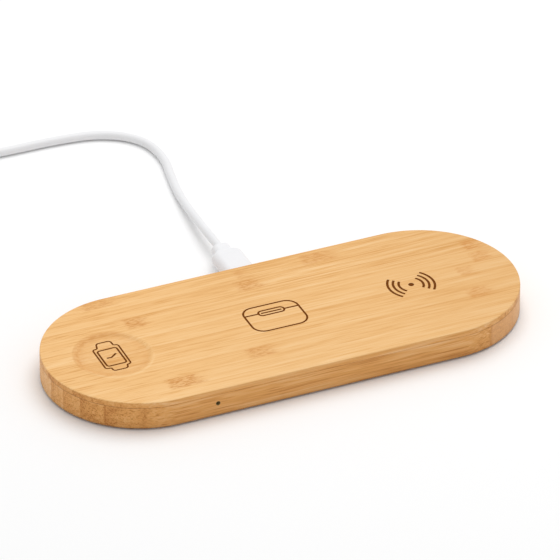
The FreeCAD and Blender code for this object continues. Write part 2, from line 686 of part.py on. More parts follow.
def coil_reach(inner_radius, turns, side=1):
    """Formula for how far a flat coil reaches from its middle, to the right or to the left."""
    last_half = turns - (2 - side) / 4
    return f"({inner_radius} + Sizes.wire_width + {last_half} * (Sizes.wire_width + Sizes.wire_gap))"


WATCH_HALF = f"({coil_reach('Sizes.watch_coil_radius', WATCH_COIL_TURNS)} + Sizes.ferrite_margin)"
PHONE_HALF = f"({coil_reach('Sizes.phone_coil_radius', PHONE_COIL_TURNS)} + Sizes.ferrite_margin)"
EARBUD_HALF = f"({coil_reach('Sizes.earbud_coil_radius', EARBUD_COIL_TURNS)} + Sizes.ferrite_margin)"
FREE_START = f"({WATCH_X} + {WATCH_HALF})"
FREE_LENGTH = f"({PHONE_X} - {PHONE_HALF} - {FREE_START} - 2 * {EARBUD_HALF})"
EARBUD_X = f"({FREE_START} + {EARBUD_SHARE} * {FREE_LENGTH} + {EARBUD_HALF})"
COILS = {
    "phone": (PHONE_X, "Sizes.phone_coil_radius", PHONE_COIL_TURNS),
    "earbud": (EARBUD_X, "Sizes.earbud_coil_radius", EARBUD_COIL_TURNS),
    "watch": (WATCH_X, "Sizes.watch_coil_radius", WATCH_COIL_TURNS),
}
for name, (x, inner_radius, turns) in COILS.items():
    flat_coil(f"{name}_coil", x, inner_radius, turns)
    ferrite = new_body(f"{name}_ferrite", x=x, z=f"{FERRITE_TOP} - Sizes.ferrite_thickness")
    disc = new_sketch(ferrite, "disc")
    circle(disc, "0", "0", f"2 * ({coil_reach(inner_radius, turns)} + Sizes.ferrite_margin)")
    pad(ferrite, disc, "Sizes.ferrite_thickness")

coil_tape = new_body("coil_tape", z=f"{PANEL_UNDERSIDE} - Sizes.tape_thickness")
discs = new_sketch(coil_tape, "discs")
for x, inner_radius, turns in COILS.values():
    circle(discs, x, "0", f"2 * {coil_reach(inner_radius, turns)}")
pad(coil_tape, discs, "Sizes.tape_thickness")

watch_magnet = new_body("watch_magnet", x=WATCH_X, z=FERRITE_TOP)
disc = new_sketch(watch_magnet, "disc")
circle(disc, "0", "0", "Sizes.magnet_diameter")
pad(watch_magnet, disc, "Sizes.wire_thickness")


# Tubes: straight runs joined by arcs as large as the runs allow

# Share of the shorter run that each side of a bend takes up
BEND_SHARE = 0.45


def tube_path(points):
    """The path of a tube along a route, and the radii of its bends."""
    edges, radii = [], []
    start = points[0]
    for before, corner, after in zip(points, points[1:], points[2:]):
        come, go = corner - before, after - corner
        turn = come.getAngle(go)
        taken = BEND_SHARE * min(come.Length, go.Length)
        radii.append(taken / math.tan(turn / 2))
        come.normalize()
        go.normalize()
        enter, leave = corner - come * taken, corner + go * taken
        inward = go - come
        inward.normalize()
        sag = radii[-1] * (1 / math.cos(turn / 2) - 1)
        edges.append(Part.makeLine(start, enter))
        edges.append(Part.Arc(enter, corner + inward * sag, leave).toShape())
        start = leave
    edges.append(Part.makeLine(start, points[-1]))
    return edges, radii


def tube(edges, diameter):
    """A round solid along a path of lines and arcs, with its volume compared with its length."""
    path = Part.Wire(edges)
    ring = Part.Wire(Part.makeCircle(diameter / 2, edges[0].valueAt(edges[0].FirstParameter),
                                     edges[0].tangentAt(edges[0].FirstParameter)))
    solid = path.makePipeShell([ring], True, False)
    expected = math.pi * diameter ** 2 / 4 * path.Length
    if abs(solid.Volume / expected - 1) > TUBE_ERROR_SHARE:
        raise RuntimeError(f"a tube has volume {solid.Volume:.1f}, not {expected:.1f}")
    return solid


def new_tube(label, shape):
    """A node for a tube or a group of tubes."""
    node = doc.addObject("Part::Feature", label)
    node.Label = label
    node.Shape = shape
    nodes.append(node)


# Leads from each coil's rim down to the board

def coil_lead(x, radius, side, pad_x, y):
    """One lead, from a coil's rim on the given side to a solder pad on the board, at pad_x or further on."""
    half = value("Sizes.lead_diameter / 2")
    high = value(f"{FERRITE_TOP} + Sizes.wire_thickness / 2")
    low = value(BOARD_TOP) + half
    rim = x + side * (radius + value("Sizes.lead_gap"))
    out = rim + side * value("Sizes.lead_reach")
    pad_x = side * max(side * pad_x, side * out + value("2 * Sizes.lead_rise"))
    points = [(rim, high), (out, high), (pad_x - side * value("Sizes.lead_rise"), low), (pad_x, low)]
    edges = tube_path([Vector(along, y, height) for along, height in points])[0]
    return tube(edges, 2 * half)


leads = []
for name, side, pad_x in (
    ("watch", 1, "Sizes.board_left + Sizes.lead_rise"),
    ("phone", -1, "Sizes.board_right - Sizes.lead_rise"),
    ("earbud", -1, f"{EARBUD_X} - {EARBUD_HALF} - Sizes.earbud_lead_run"),
):
    x, inner_radius, turns = COILS[name]
    for end in (-1, 1):
        radius = value(coil_reach(inner_radius, turns, side))
        leads.append(coil_lead(value(x), radius, side, value(pad_x), end * value("Sizes.lead_spread")))
new_tube("coil_leads", Part.makeCompound(leads))

# Plug: a drawn shell in the grip's root, with a moulded insert that takes the socket's tongue

plug_shell = new_body("plug_shell", x="Sizes.socket_x", y=GRIP_FACE, z=SOCKET_AXIS)
tip = new_sketch(plug_shell, "tip", "XZ_Plane")
root = new_sketch(plug_shell, "root", "XZ_Plane")
for half in (tip, root):
    stadium(half, "Sizes.plug_width", "Sizes.plug_tall")
    stadium(half, "Sizes.plug_width - 2 * Sizes.plug_wall", "Sizes.plug_tall - 2 * Sizes.plug_wall")
pad(plug_shell, tip, "Sizes.plug_reach")
pad(plug_shell, root, "Sizes.plug_root", reverse=True)

PLUG_BORE = "2 * (Sizes.plug_wall + Sizes.plug_fit)"
INSERT_FACE = f"{GRIP_FACE} - Sizes.plug_reach + Sizes.insert_setback"
plug_insert = new_body("plug_insert", x="Sizes.socket_x", y=INSERT_FACE, z=SOCKET_AXIS)
core = new_sketch(plug_insert, "core", "XZ_Plane")
stadium(core, f"Sizes.plug_width - {PLUG_BORE}", f"Sizes.plug_tall - {PLUG_BORE}")
pad(plug_insert, core, "Sizes.plug_reach - Sizes.insert_setback", reverse=True)
mouth = new_sketch(plug_insert, "mouth", "XZ_Plane")
rectangle(mouth, "0", "0", "Sizes.tongue_width + 2 * Sizes.insert_slot_clearance",
          "Sizes.tongue_thickness + 2 * Sizes.insert_slot_clearance")
pocket(plug_insert, mouth, "Sizes.insert_slot_depth")


# Grips: a moulded body of pill section whose shoulders run smoothly into a neck that guards the cord

# Shares of the shoulder's length at which its sections lie
SHOULDER_SHARES = (0, 0.25, 0.5, 0.75, 1)


def moulded_grip(body, width, tall, length, shoulder):
    """Shape the moulded body at one end of the lead, from its front face to the end of its neck."""
    straight = f"({length} - {shoulder})"
    section = new_sketch(body, "section", "XZ_Plane")
    stadium(section, width, tall)
    pad(body, section, straight, reverse=True)
    round_edges(body, "Y", "0", "Sizes.grip_front_round")
    slices = []
    for share in SHOULDER_SHARES:
        drawn_in = share * share * (3 - 2 * share)
        slices.append(new_sketch(body, "shoulder", "XZ_Plane", z=f"-({straight} + {share} * {shoulder})"))
        stadium(slices[-1], f"{width} + {drawn_in} * (Sizes.neck_width - {width})",
                f"{tall} + {drawn_in} * (Sizes.neck_tall - {tall})")
    loft = body.newObject("PartDesign::AdditiveLoft", "shoulder_loft")
    loft.Profile = slices[0]
    loft.Sections = slices[1:]
    doc.recompute()
    neck = new_sketch(body, "neck", "XZ_Plane", z=f"-({length})")
    stadium(neck, "Sizes.neck_width", "Sizes.neck_tall")
    pad(body, neck, "Sizes.neck_length", reverse=True)
    round_edges(body, "Y", f"{length} + Sizes.neck_length", "Sizes.neck_round")


plug_grip = new_body("plug_grip", x="Sizes.socket_x", y=GRIP_FACE, z=SOCKET_AXIS)
moulded_grip(plug_grip, "Sizes.grip_width", "Sizes.grip_tall", "Sizes.grip_length", "Sizes.grip_shoulder")
seat = new_sketch(plug_grip, "seat", "XZ_Plane")
stadium(seat, "Sizes.plug_width + 2 * Sizes.plug_fit", "Sizes.plug_tall + 2 * Sizes.plug_fit")
pocket(plug_grip, seat, "Sizes.plug_root + Sizes.plug_fit")


# Cord coil: loops that spiral in on the lower layer, climb in the middle half turn and spiral out above

TURNS = value("Sizes.coil_turns")
# Share of a turn in which the cord climbs to the upper layer, and the share that a heading is read over
CLIMB_SHARE = 0.5
STEP_SHARE = 1e-4
PITCH = "(Sizes.cord_diameter + Sizes.loop_gap)"
LOOP_PITCH = value(PITCH)
LOWER_LAYER = value("Sizes.tie_thickness + Sizes.tie_gap + Sizes.cord_diameter / 2")
NECK_POINT = Vector(value("Sizes.socket_x"), value(NECK_END), value(SOCKET_AXIS))
COIL_X = "(Sizes.socket_x + Sizes.coil_step_x)"
COIL_Y = f"({NECK_END} + Sizes.coil_step_y)"
COIL_CENTRE = Vector(value(COIL_X), value(COIL_Y), 0)


def coil_point(turn):
    """The coil's centre line after a number of turns from its start."""
    away = turn - TURNS / 2
    radius = value("Sizes.coil_radius") + LOOP_PITCH * abs(away)
    angle = math.radians(value("Sizes.coil_start_angle")) + 2 * math.pi * turn
    climb = min(max(away / CLIMB_SHARE + 1 / 2, 0), 1)
    height = LOWER_LAYER + LOOP_PITCH * climb * climb * (3 - 2 * climb)
    return COIL_CENTRE + Vector(radius * math.cos(angle), radius * math.sin(angle), height)


def coil_heading(turn):
    """The direction in which the coil's centre line runs."""
    heading = coil_point(turn + STEP_SHARE) - coil_point(turn - STEP_SHARE)
    if abs(turn - TURNS / 2) >= CLIMB_SHARE / 2:
        heading.z = 0
    return heading.normalize()


def arc_between(start, corner, end):
    """The arc that touches two sides of a corner, as long as each other, at their ends."""
    chord = (start + end) / 2
    spread = math.cos(math.atan2((corner - chord).Length, (start - chord).Length))
    return Part.Arc(start, chord + (corner - chord) * (spread / (1 + spread)), end).toShape()


def two_arcs(start, heading, end, end_heading):
    """Two arcs that join two points smoothly along their headings."""
    across, both = end - start, heading + end_heading
    spare = 2 * (1 - heading.dot(end_heading))
    along = across.dot(both)
    reach = (math.sqrt(along * along + spare * across.dot(across)) - along) / spare
    first, second = start + heading * reach, end - end_heading * reach
    middle = (first + second) / 2
    return [arc_between(start, first, middle), arc_between(middle, second, end)]


QUARTERS = 2 * round(2 * TURNS)
stations = [TURNS * quarter / QUARTERS for quarter in range(QUARTERS + 1)]
straight = value("Sizes.cord_diameter")
coil_start = coil_point(0) - coil_heading(0) * straight
coil_end = coil_point(TURNS) + coil_heading(TURNS) * straight
edges = [Part.makeLine(coil_start, coil_point(0))]
for turn, after in zip(stations, stations[1:]):
    edges += two_arcs(coil_point(turn), coil_heading(turn), coil_point(after), coil_heading(after))
edges.append(Part.makeLine(coil_point(TURNS), coil_end))
coil_length = sum(edge.Length for edge in edges)
new_tube("cord_coil", tube(edges, value("Sizes.cord_diameter")))

# The least gap of the coil to itself, measured on points of its centre line at least half a turn apart
CLOSE_POINTS = 60
samples = [coil_point(n / CLOSE_POINTS) for n in range(int(TURNS * CLOSE_POINTS) + 1)]
least = min(
    (samples[first] - samples[second]).Length
    for first in range(len(samples))
    for second in range(first + CLOSE_POINTS // 2, len(samples))
)
print(f"coil: least gap to itself {least - straight:.2f} mm, length {coil_length:.1f} mm")


# Free stretches of the cord, from the neck to the coil and from the coil to the supply plug

def new_stretch(label, points):
    """A tube of the cord along a route, with its bends and length printed."""
    edges, radii = tube_path(points)
    new_tube(label, tube(edges, value("Sizes.cord_diameter")))
    length = sum(edge.Length for edge in edges)
    print(f"{label}: length {length:.1f} mm, bend radii", [round(radius, 1) for radius in radii])
    return length


run = [NECK_POINT] + [Vector(NECK_POINT.x + x, NECK_POINT.y + y, z) for x, y, z in CORD_ROUTE]
run += [coil_start - coil_heading(0) * value("Sizes.cord_lead_in"), coil_start]
run_length = new_stretch("cord_run", run)
tail = [coil_end, coil_end + coil_heading(TURNS) * value("Sizes.tail_lead_out")]
tail += [Vector(coil_end.x + x, coil_end.y + y, value("Sizes.supply_grip_tall / 2")) for x, y in TAIL_ROUTE]
tail_length = new_stretch("cord_tail", tail)
print(f"cord: length {run_length + coil_length + tail_length:.1f} mm")

# Tie: a strap round all the loops, where both layers lie level across from the climb

tie_angle = value("Sizes.coil_start_angle") + 360 * (TURNS / 2 - 1 / 2)
TIE_LOOPS, TIE_LAYERS = 3, 2
TIE_ROOM = "(2 * Sizes.tie_gap - Sizes.loop_gap)"
LOOPS_BOW = "(Sizes.tie_width ^ 2 / 4 / Sizes.coil_radius)"
LOOPS_WIDE = f"({TIE_LOOPS} * {PITCH} + {TIE_ROOM} + {LOOPS_BOW})"
LOOPS_HIGH = f"({TIE_LAYERS} * {PITCH} + {TIE_ROOM})"
LOOPS_MIDDLE = f"(Sizes.coil_radius + {TIE_LOOPS} / 2 * {PITCH} - {LOOPS_BOW} / 2)"
cord_tie = new_body("cord_tie", x=COIL_X, y=COIL_Y)
cord_tie.Placement.Rotation = FreeCAD.Rotation(UP, tie_angle)
strap = new_sketch(cord_tie, "strap", "XZ_Plane", z="-Sizes.tie_width / 2")
for wall in ("0", "Sizes.tie_thickness"):
    round_rectangle(strap, f"{LOOPS_WIDE} + 2 * ({wall})", f"{LOOPS_HIGH} + 2 * ({wall})",
                    f"Sizes.tie_round + {wall}", LOOPS_MIDDLE, f"Sizes.tie_thickness + {LOOPS_HIGH} / 2")
pad(cord_tie, strap, "Sizes.tie_width")

# Supply plug: the flat rectangular plug that goes into a power supply, lying on the surface

SUPPLY_X = str(tail[-1].x)
SUPPLY_FACE = f"({tail[-1].y} - Sizes.neck_length - Sizes.supply_grip_length)"
SUPPLY_AXIS = "Sizes.supply_grip_tall / 2"
supply_grip = new_body("supply_grip", x=SUPPLY_X, y=SUPPLY_FACE, z=SUPPLY_AXIS)
moulded_grip(supply_grip, "Sizes.supply_grip_width", "Sizes.supply_grip_tall",
             "Sizes.supply_grip_length", "Sizes.supply_grip_shoulder")
seat = new_sketch(supply_grip, "seat", "XZ_Plane")
round_rectangle(seat, "Sizes.supply_shell_width + 2 * Sizes.plug_fit",
                "Sizes.supply_shell_tall + 2 * Sizes.plug_fit", "Sizes.supply_shell_round")
pocket(supply_grip, seat, "Sizes.plug_root + Sizes.plug_fit")

supply_shell = new_body("supply_shell", x=SUPPLY_X, y=SUPPLY_FACE, z=SUPPLY_AXIS)
tube_section = new_sketch(supply_shell, "section", "XZ_Plane", z="-Sizes.plug_root")
for wall in ("0", "Sizes.supply_shell_wall"):
    round_rectangle(tube_section, f"Sizes.supply_shell_width - 2 * ({wall})",
                    f"Sizes.supply_shell_tall - 2 * ({wall})", f"Sizes.supply_shell_round - ({wall}) / 2")
pad(supply_shell, tube_section, "Sizes.supply_shell_reach + Sizes.plug_root")
windows = new_sketch(supply_shell, "windows", z="-Sizes.supply_shell_tall")
for side in (-1, 1):
    rectangle(windows, f"{side} * Sizes.supply_window_pitch / 2",
              "Sizes.supply_window_setback - Sizes.supply_shell_reach",
              "Sizes.supply_window", "Sizes.supply_window")
pocket(supply_shell, windows, "2 * Sizes.supply_shell_tall", reverse=True)

supply_tongue = new_body("supply_tongue", x=SUPPLY_X, y=SUPPLY_FACE, z=SUPPLY_AXIS)
blade = new_sketch(supply_tongue, "blade", "XZ_Plane", z="-Sizes.plug_root")
BLADE_FLOOR = "(Sizes.supply_shell_wall + Sizes.plug_fit - Sizes.supply_shell_tall / 2)"
rectangle(blade, "0", f"{BLADE_FLOOR} + Sizes.supply_tongue_thickness / 2",
          "Sizes.supply_shell_width - 2 * (Sizes.supply_shell_wall + Sizes.supply_shell_round)",
          "Sizes.supply_tongue_thickness")
pad(supply_tongue, blade, "Sizes.supply_shell_reach + Sizes.plug_root - Sizes.supply_tongue_setback")

# Every object must have built, and every piece must be a sound solid, before anything is written

doc.recompute()
for item in doc.Objects:
    if "Invalid" in item.State or "Error" in item.State:
        raise RuntimeError(f"{item.Label} did not build: {item.State}")
for node in nodes:
    if node.Shape.isNull() or not node.Shape.isValid():
        raise RuntimeError(f"{node.Label} is not a sound solid")
os.makedirs("parts", exist_ok=True)
for node in nodes:
    node.Shape.exportStep(f"parts/{node.Label}.step")
print(f"{len(nodes)} parts written")
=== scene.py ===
import math

import bpy
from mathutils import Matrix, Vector


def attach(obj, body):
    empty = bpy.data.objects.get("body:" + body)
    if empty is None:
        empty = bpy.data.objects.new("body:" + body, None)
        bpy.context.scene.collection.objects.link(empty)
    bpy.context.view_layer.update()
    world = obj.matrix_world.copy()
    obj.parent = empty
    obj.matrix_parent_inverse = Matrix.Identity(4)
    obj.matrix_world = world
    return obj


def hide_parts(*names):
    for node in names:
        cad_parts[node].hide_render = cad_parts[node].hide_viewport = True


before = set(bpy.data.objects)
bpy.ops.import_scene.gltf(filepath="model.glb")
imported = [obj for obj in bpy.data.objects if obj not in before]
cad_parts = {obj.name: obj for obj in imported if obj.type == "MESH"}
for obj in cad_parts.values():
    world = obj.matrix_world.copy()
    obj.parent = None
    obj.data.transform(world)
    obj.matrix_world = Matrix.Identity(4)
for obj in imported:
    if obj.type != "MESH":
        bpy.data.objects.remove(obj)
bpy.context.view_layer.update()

# Body frame: a thick ring milled from a block of glued bamboo strips.
# The strips run along the pad, so its rounded ends show their cut ends, and
# the straight sides show their length.

MM = 1000  # in a metre: shapes are in metres, and places in materials in millimetres
PAD_WIDTH = 0.087
FRAME_LOW, FRAME_TOP = 0.8, 11.3
LAMP_X, LAMP_HEIGHT, LAMP_HOLE_RADIUS = -48.5, 6.9, 1.0

# Its strips from the front to the back: lightness, strength of the cut fibres, liveliness of the streaks
FRAME_STRIP, FRAME_JOINT = 9.1, -4.3
FRAME_STRIPS = [(0.48, 0.3, 1), (0.33, 0.42, 1), (0.4, 0.38, 1), (0.46, 0.32, 1), (0.5, 0.27, 1),
                (0.7, 0.06, 1), (0.56, 0.2, 1), (0.46, 0.35, 1), (0.52, 0.3, 1), (0.45, 0.35, 1)]
FRAME_PORES, FRAME_CONTRAST = 0.2, (1.3, 1.7)
EDGE_TONES = (0.42, 0.134, 0.012, 1), (0.745, 0.36, 0.096, 1), (0.9, 0.58, 0.3, 1)
PLANED_TONE, FADED_AND_REFLECTED_TONE = (0.77, 0.415, 0.175, 1), (0.62, 0.46, 0.33, 1)
FOOT_AND_GLUE_TONE, BORE_SHADE_TONE = (0.2, 0.08, 0.02, 1), (0.33, 0.24, 0.1, 1)
EDGE_SHINE = 0.4


class Paint:
    """A socket in a material. Arithmetic on it adds Math nodes, and node adds any other kind."""

    def __init__(self, tree, socket=None):
        self.tree = tree
        self.socket = socket

    def node(self, kind, settings, sockets, out=0):
        """Add a node: its settings first, then the values or links of its sockets."""
        made = self.tree.nodes.new(kind)
        for name, setting in settings.items():
            if name == "stops":
                elements = made.color_ramp.elements
                elements.remove(elements[1])
                elements[0].position, elements[0].color = setting[0]
                for position, colour in setting[1:]:
                    elements.new(position).color = colour
            elif name == "steps":
                made.color_ramp.interpolation = setting
            else:
                setattr(made, name, setting)
        for name, given in sockets.items():
            if isinstance(given, Paint):
                self.tree.links.new(given.socket, made.inputs[name])
            else:
                made.inputs[name].default_value = given
        return Paint(self.tree, made.outputs[out]) if made.outputs else None

    def math(self, operation, other=0.0):
        return self.node("ShaderNodeMath", {"operation": operation}, {0: self, 1: other})

    def __add__(self, other):
        return self.math("ADD", other)

    __radd__ = __add__

    def __mul__(self, other):
        return self.math("MULTIPLY", other)

    __rmul__ = __mul__

    def __sub__(self, other):
        return self.math("SUBTRACT", other)

    def __rsub__(self, other):
        return self * -1 + other

    def __truediv__(self, other):
        return self.math("DIVIDE", other)


def new_material(name):
    """An empty material, and the place on the piece in millimetres."""
    material = bpy.data.materials.new(name)
    material.use_nodes = True
    material.node_tree.nodes.clear()
    metres = Paint(material.node_tree).node("ShaderNodeTexCoord", {}, {}, out="Object")
    place = metres.node("ShaderNodeVectorMath", {"operation": "SCALE"}, {0: metres, "Scale": MM})
    return material, place


def parts_of(place):
    """The X, Y and Z of a place."""
    split = place.node("ShaderNodeSeparateXYZ", {}, {0: place})
    return [Paint(place.tree, socket) for socket in split.socket.node.outputs]


def distance(across, up):
    """How far a place lies from a point, given how far it lies from it in two directions."""
    return (across * across + up * up).math("SQRT")


def in_lumps(place, size):
    """The place counted in lumps of the given size along X, Y and Z."""
    return place.node("ShaderNodeVectorMath", {"operation": "DIVIDE"}, {0: place, 1: size})


def noise(place, size, detail=2.0, roughness=0.5):
    """Cloudy noise whose lumps have about the given size."""
    return place.node("ShaderNodeTexNoise", {}, {"Vector": in_lumps(place, size), "Scale": 1.0,
                                                 "Detail": detail, "Roughness": roughness})


def cells(place, size, measure="EUCLIDEAN"):
    """How far a place lies from the middle of its cell, for cells of about the given size."""
    return place.node("ShaderNodeTexVoronoi", {"feature": "F1", "distance": measure},
                      {"Vector": in_lumps(place, size), "Scale": 1.0})


def soft_step(amount, low, high):
    """0 below low, 1 above high and smooth between."""
    return amount.node("ShaderNodeMapRange", {"interpolation_type": "SMOOTHSTEP"},
                       {"Value": amount, "From Min": low, "From Max": high})


def blend(share, first, second):
    """A colour that goes from first to second."""
    return share.node("ShaderNodeMix", {"data_type": "RGBA"}, {0: share, 6: first, 7: second}, out=2)


def bumped(height, depth):
    """A normal for a surface with the given height map, as deep as depth millimetres."""
    return height.node("ShaderNodeBump", {}, {"Height": height, "Strength": 1.0, "Distance": depth / MM})


def coat(paint, sockets):
    """Close a material with its surface shader."""
    shader = paint.node("ShaderNodeBsdfPrincipled", {}, sockets)
    paint.node("ShaderNodeOutputMaterial", {}, {"Surface": shader})


def dress(material, *nodes):
    """Give CAD nodes a material."""
    for node in nodes:
        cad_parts[node].material_slots[0].material = material


def bamboo_grain(place, strip_width, joint, strips, tones, pores, contrast):
    """The colour and the relief of glued bamboo strips that run along X.

    joint is the place of one of the joints between them, and strips lists their looks. tones are
    the deep, middle and pale colours, pores is how dark the short pores along the strips are, and
    contrast is that of the streaks at the left and at the right."""
    along, across, height = parts_of(place)
    count = (across - joint) / strip_width
    strip = count.math("FLOOR")
    first = math.floor((-PAD_WIDTH / 2 * MM - joint) / strip_width)
    stops = [(n / len(strips), (*strip_look, 1)) for n, strip_look in enumerate(strips)]
    listed = place.node("ShaderNodeValToRGB", {"stops": stops, "steps": "CONSTANT"},
                        {0: (strip - first + 0.5) / len(strips)})
    light, fibre, lively = parts_of(listed)

    # Each strip has its own grain, drawn out along it, with short pores that show most at the left
    shift = place.node("ShaderNodeTexWhiteNoise", {"noise_dimensions": "1D"}, {"W": strip})
    moved = place.node("ShaderNodeCombineXYZ", {}, {0: along + shift * 700, 1: across, 2: height})
    fine = noise(moved, (24, 0.45, 0.5), 3.0, 0.6)
    streak = noise(moved, (46, 1.3, 1.5))
    broad = noise(moved, (60, 7, 9))
    pore = soft_step(noise(moved, (14, 0.6, 0.6)), 0.53, 0.68) * (0.8 + soft_step(along * -1, 25, 66) * 0.6)

    # Its cut fibres show as specks on the rounded ends, most towards its dense and darker skin side
    skin = count - strip
    ends = soft_step(along * -1, 70, 96) + soft_step(along, 70, 96) * 0.15
    cluster = soft_step(noise(moved, (30, 6, 14)), 0.3, 0.65) * (0.25 + soft_step(skin, 0.1, 0.75))
    specks = (1 - soft_step(cells(moved, (16, 0.7, 0.7)), 0.12, 0.42)) * cluster * ends

    # Its joints show as broken dark lines
    edge = (skin - 0.5).math("ABSOLUTE") * strip_width
    seam = soft_step(edge, strip_width / 2 - 0.6, strip_width / 2) * (0.3 + soft_step(streak, 0.4, 0.6))

    left, right = contrast
    lively = left + soft_step(along, -70, 40) * (lively * right - left)
    amount = 0.05 + light - (skin - 0.5) * 0.14 + ((fine - 0.5) * 0.65 + (streak - 0.5) * 0.45) * lively
    amount = amount + (broad - 0.5) * 0.4 - pore * pores - seam * 0.2 - specks * fibre
    deep, middle, pale = tones
    colour = place.node("ShaderNodeValToRGB", {"stops": [(0.0, deep), (0.5, middle), (1.0, pale)]},
                        {0: amount})
    return colour, fine * 0.6 - specks * 0.8


def wood_coat(place, colour, relief, shine):
    """Close a material with the soft sheen of oiled wood."""
    coat(place, {
        "Base Color": colour,
        "Roughness": 0.5 + relief * 0.12,
        "Specular IOR Level": shine,
        "Normal": bumped(relief, 0.03),
    })


frame_bamboo, place = new_material("frame_bamboo")
colour, relief = bamboo_grain(place, FRAME_STRIP, FRAME_JOINT, FRAME_STRIPS, EDGE_TONES,
                              FRAME_PORES, FRAME_CONTRAST)
along, across, height = parts_of(place)

# Its right end is planed smooth, and towards its tip it is veiled paler: partly faded end grain, partly a
# painted reflection of the white backdrop at a grazing angle
planed = soft_step(along, 81, 83) * 0.6
colour = blend(planed, colour, PLANED_TONE)
faded_and_reflected = soft_step(along, 94, 108) * 0.25
colour = blend(faded_and_reflected, colour, FADED_AND_REFLECTED_TONE)

# It is darker near its foot, as painted shade where it meets the floor and as soiling of its lower edge, and
# darker in the glue line under the panel, which shows most on the ends
glue = 1 - soft_step(FRAME_TOP - height, 0.05, 0.4)
foot_soil_and_shade = ((1 - soft_step(height, FRAME_LOW, FRAME_LOW + 1.6)) * 0.3
        + (1 - soft_step(height, FRAME_LOW, FRAME_LOW + 7)) * 0.1)
foot_and_glue = foot_soil_and_shade + glue * (0.14 + soft_step(along.math("ABSOLUTE"), 60, 95) * 0.3)
colour = blend(foot_and_glue, colour, FOOT_AND_GLUE_TONE)

# The wall of the lamp hole in its front is painted dark, as painted shade inside the bore
off_axis = distance(along - LAMP_X, height - LAMP_HEIGHT)
hole = 1 - soft_step(off_axis, LAMP_HOLE_RADIUS, LAMP_HOLE_RADIUS + 0.08)
bore_shade = hole * (1 - soft_step(across, -1, 1))
colour = blend(bore_shade, colour, BORE_SHADE_TONE)
wood_coat(place, colour, relief, EDGE_SHINE)
dress(frame_bamboo, "body_frame")

# Top panel: a thin bamboo ply glued on the frame, its top edge eased with a router.
# The watch's dish is milled into it, and the three symbols are burnt in as
# shallow round-bottomed grooves.

PAD_LENGTH = 0.220
PANEL_LOW, PANEL_TOP = 0.0113, 0.0140
PANEL_ROUND, ROUND_STEPS, GLUE_CHAMFER = 0.0005, 4, 0.00012
END_POINTS = 240
WATCH_X = -0.079
DISH_FLOOR, DISH_RIM, DISH_DEPTH = 0.0145, 0.0175, 0.0008

PANEL_STRIP, PANEL_JOINT = 8.6, -1.7
PANEL_STRIPS = [(0.62, 0.5, 1.1), (0.55, 0.5, 1.1), (0.49, 0.4, 1.0), (0.52, 0.5, 1.0), (0.47, 0.35, 1.0),
                (0.56, 0.3, 1.0), (0.54, 0.4, 0.9), (0.46, 0.5, 1.65), (0.49, 0.4, 1.55), (0.49, 0.5, 1.5),
                (0.42, 0.5, 1.5)]
PANEL_PORES, PANEL_CONTRAST, PANEL_SHINE = 0.23, (1.15, 2.1), 0.3
PANEL_TONES = (0.655, 0.298, 0.058, 1), (0.845, 0.49, 0.186, 1), (0.925, 0.62, 0.312, 1)
DRIFT_TONE, KNOT_TONE = (0.62, 0.33, 0.105, 1), (0.62, 0.265, 0.055, 1)
CUT_AND_SHADE_TONE, WALL_LIGHT_TONE, RIM_HIGHLIGHT_TONE = (0.65, 0.295, 0.07, 1), (0.93, 0.62, 0.295, 1), (0.95, 0.69, 0.37, 1)

# Its knots, each in one strip: place along the pad, strip counted from the joint in the middle,
# length and strength
KNOTS = [(-59.5, -4, 17, 1.0), (-20, -3, 14, 0.7), (87, -2.3, 13, 0.6), (88.5, -0.2, 9, 0.5),
         (-61, 2, 11, 0.85), (99.3, 0.8, 10, 0.6), (99.5, 2, 10, 0.75), (-3.5, 3, 14, 0.75), (-3, 4, 8, 0.4),
         (33, 4, 18, 0.65), (-70, 4.4, 18, 0.6)]


def joined(values, operation):
    """One value from several, such as their MAXIMUM."""
    whole = values[0]
    for value in values[1:]:
        whole = whole.math(operation, value)
    return whole


def soft_band(amount, rise, fall):
    """1 between two soft edges, each given by its low and high end, and 0 outside them."""
    return soft_step(amount, *rise) * (1 - soft_step(amount, *fall))


panel_bamboo, place = new_material("panel_bamboo")
colour, relief = bamboo_grain(place, PANEL_STRIP, PANEL_JOINT, PANEL_STRIPS, PANEL_TONES,
                              PANEL_PORES, PANEL_CONTRAST)
along, across = parts_of(place)[:2]

# It gets deeper in tone towards the right
drift = soft_step(along, -80, 0) * 0.17 + soft_step(along, 10, 120) * 0.25
colour = blend(drift, colour, DRIFT_TONE)

# A knot begins abruptly and ends in ragged flames
count = (across - PANEL_JOINT) / PANEL_STRIP
ragged = (noise(place, (9, 0.55, 0.55), 2.0, 0.6) - 0.5) * 12
marks = []
for knot_x, strip, length, strength in KNOTS:
    past = along - knot_x
    begun = soft_step(past + ragged * 0.5, length * -0.5, length * -0.3)
    ended = soft_step(past + ragged, length * 0.15, length * 0.65)
    side = (count - (strip + 0.5)).math("ABSOLUTE")
    marks.append(begun * (1 - ended) * (1 - soft_step(side, 0.4, 0.53)) * strength)
flame = soft_step(noise(place, (2.8, 0.62, 0.62), 3.0, 0.6), 0.42, 0.6)
colour = blend(joined(marks, "MAXIMUM") * (0.26 + flame * 0.9), colour, KNOT_TONE)

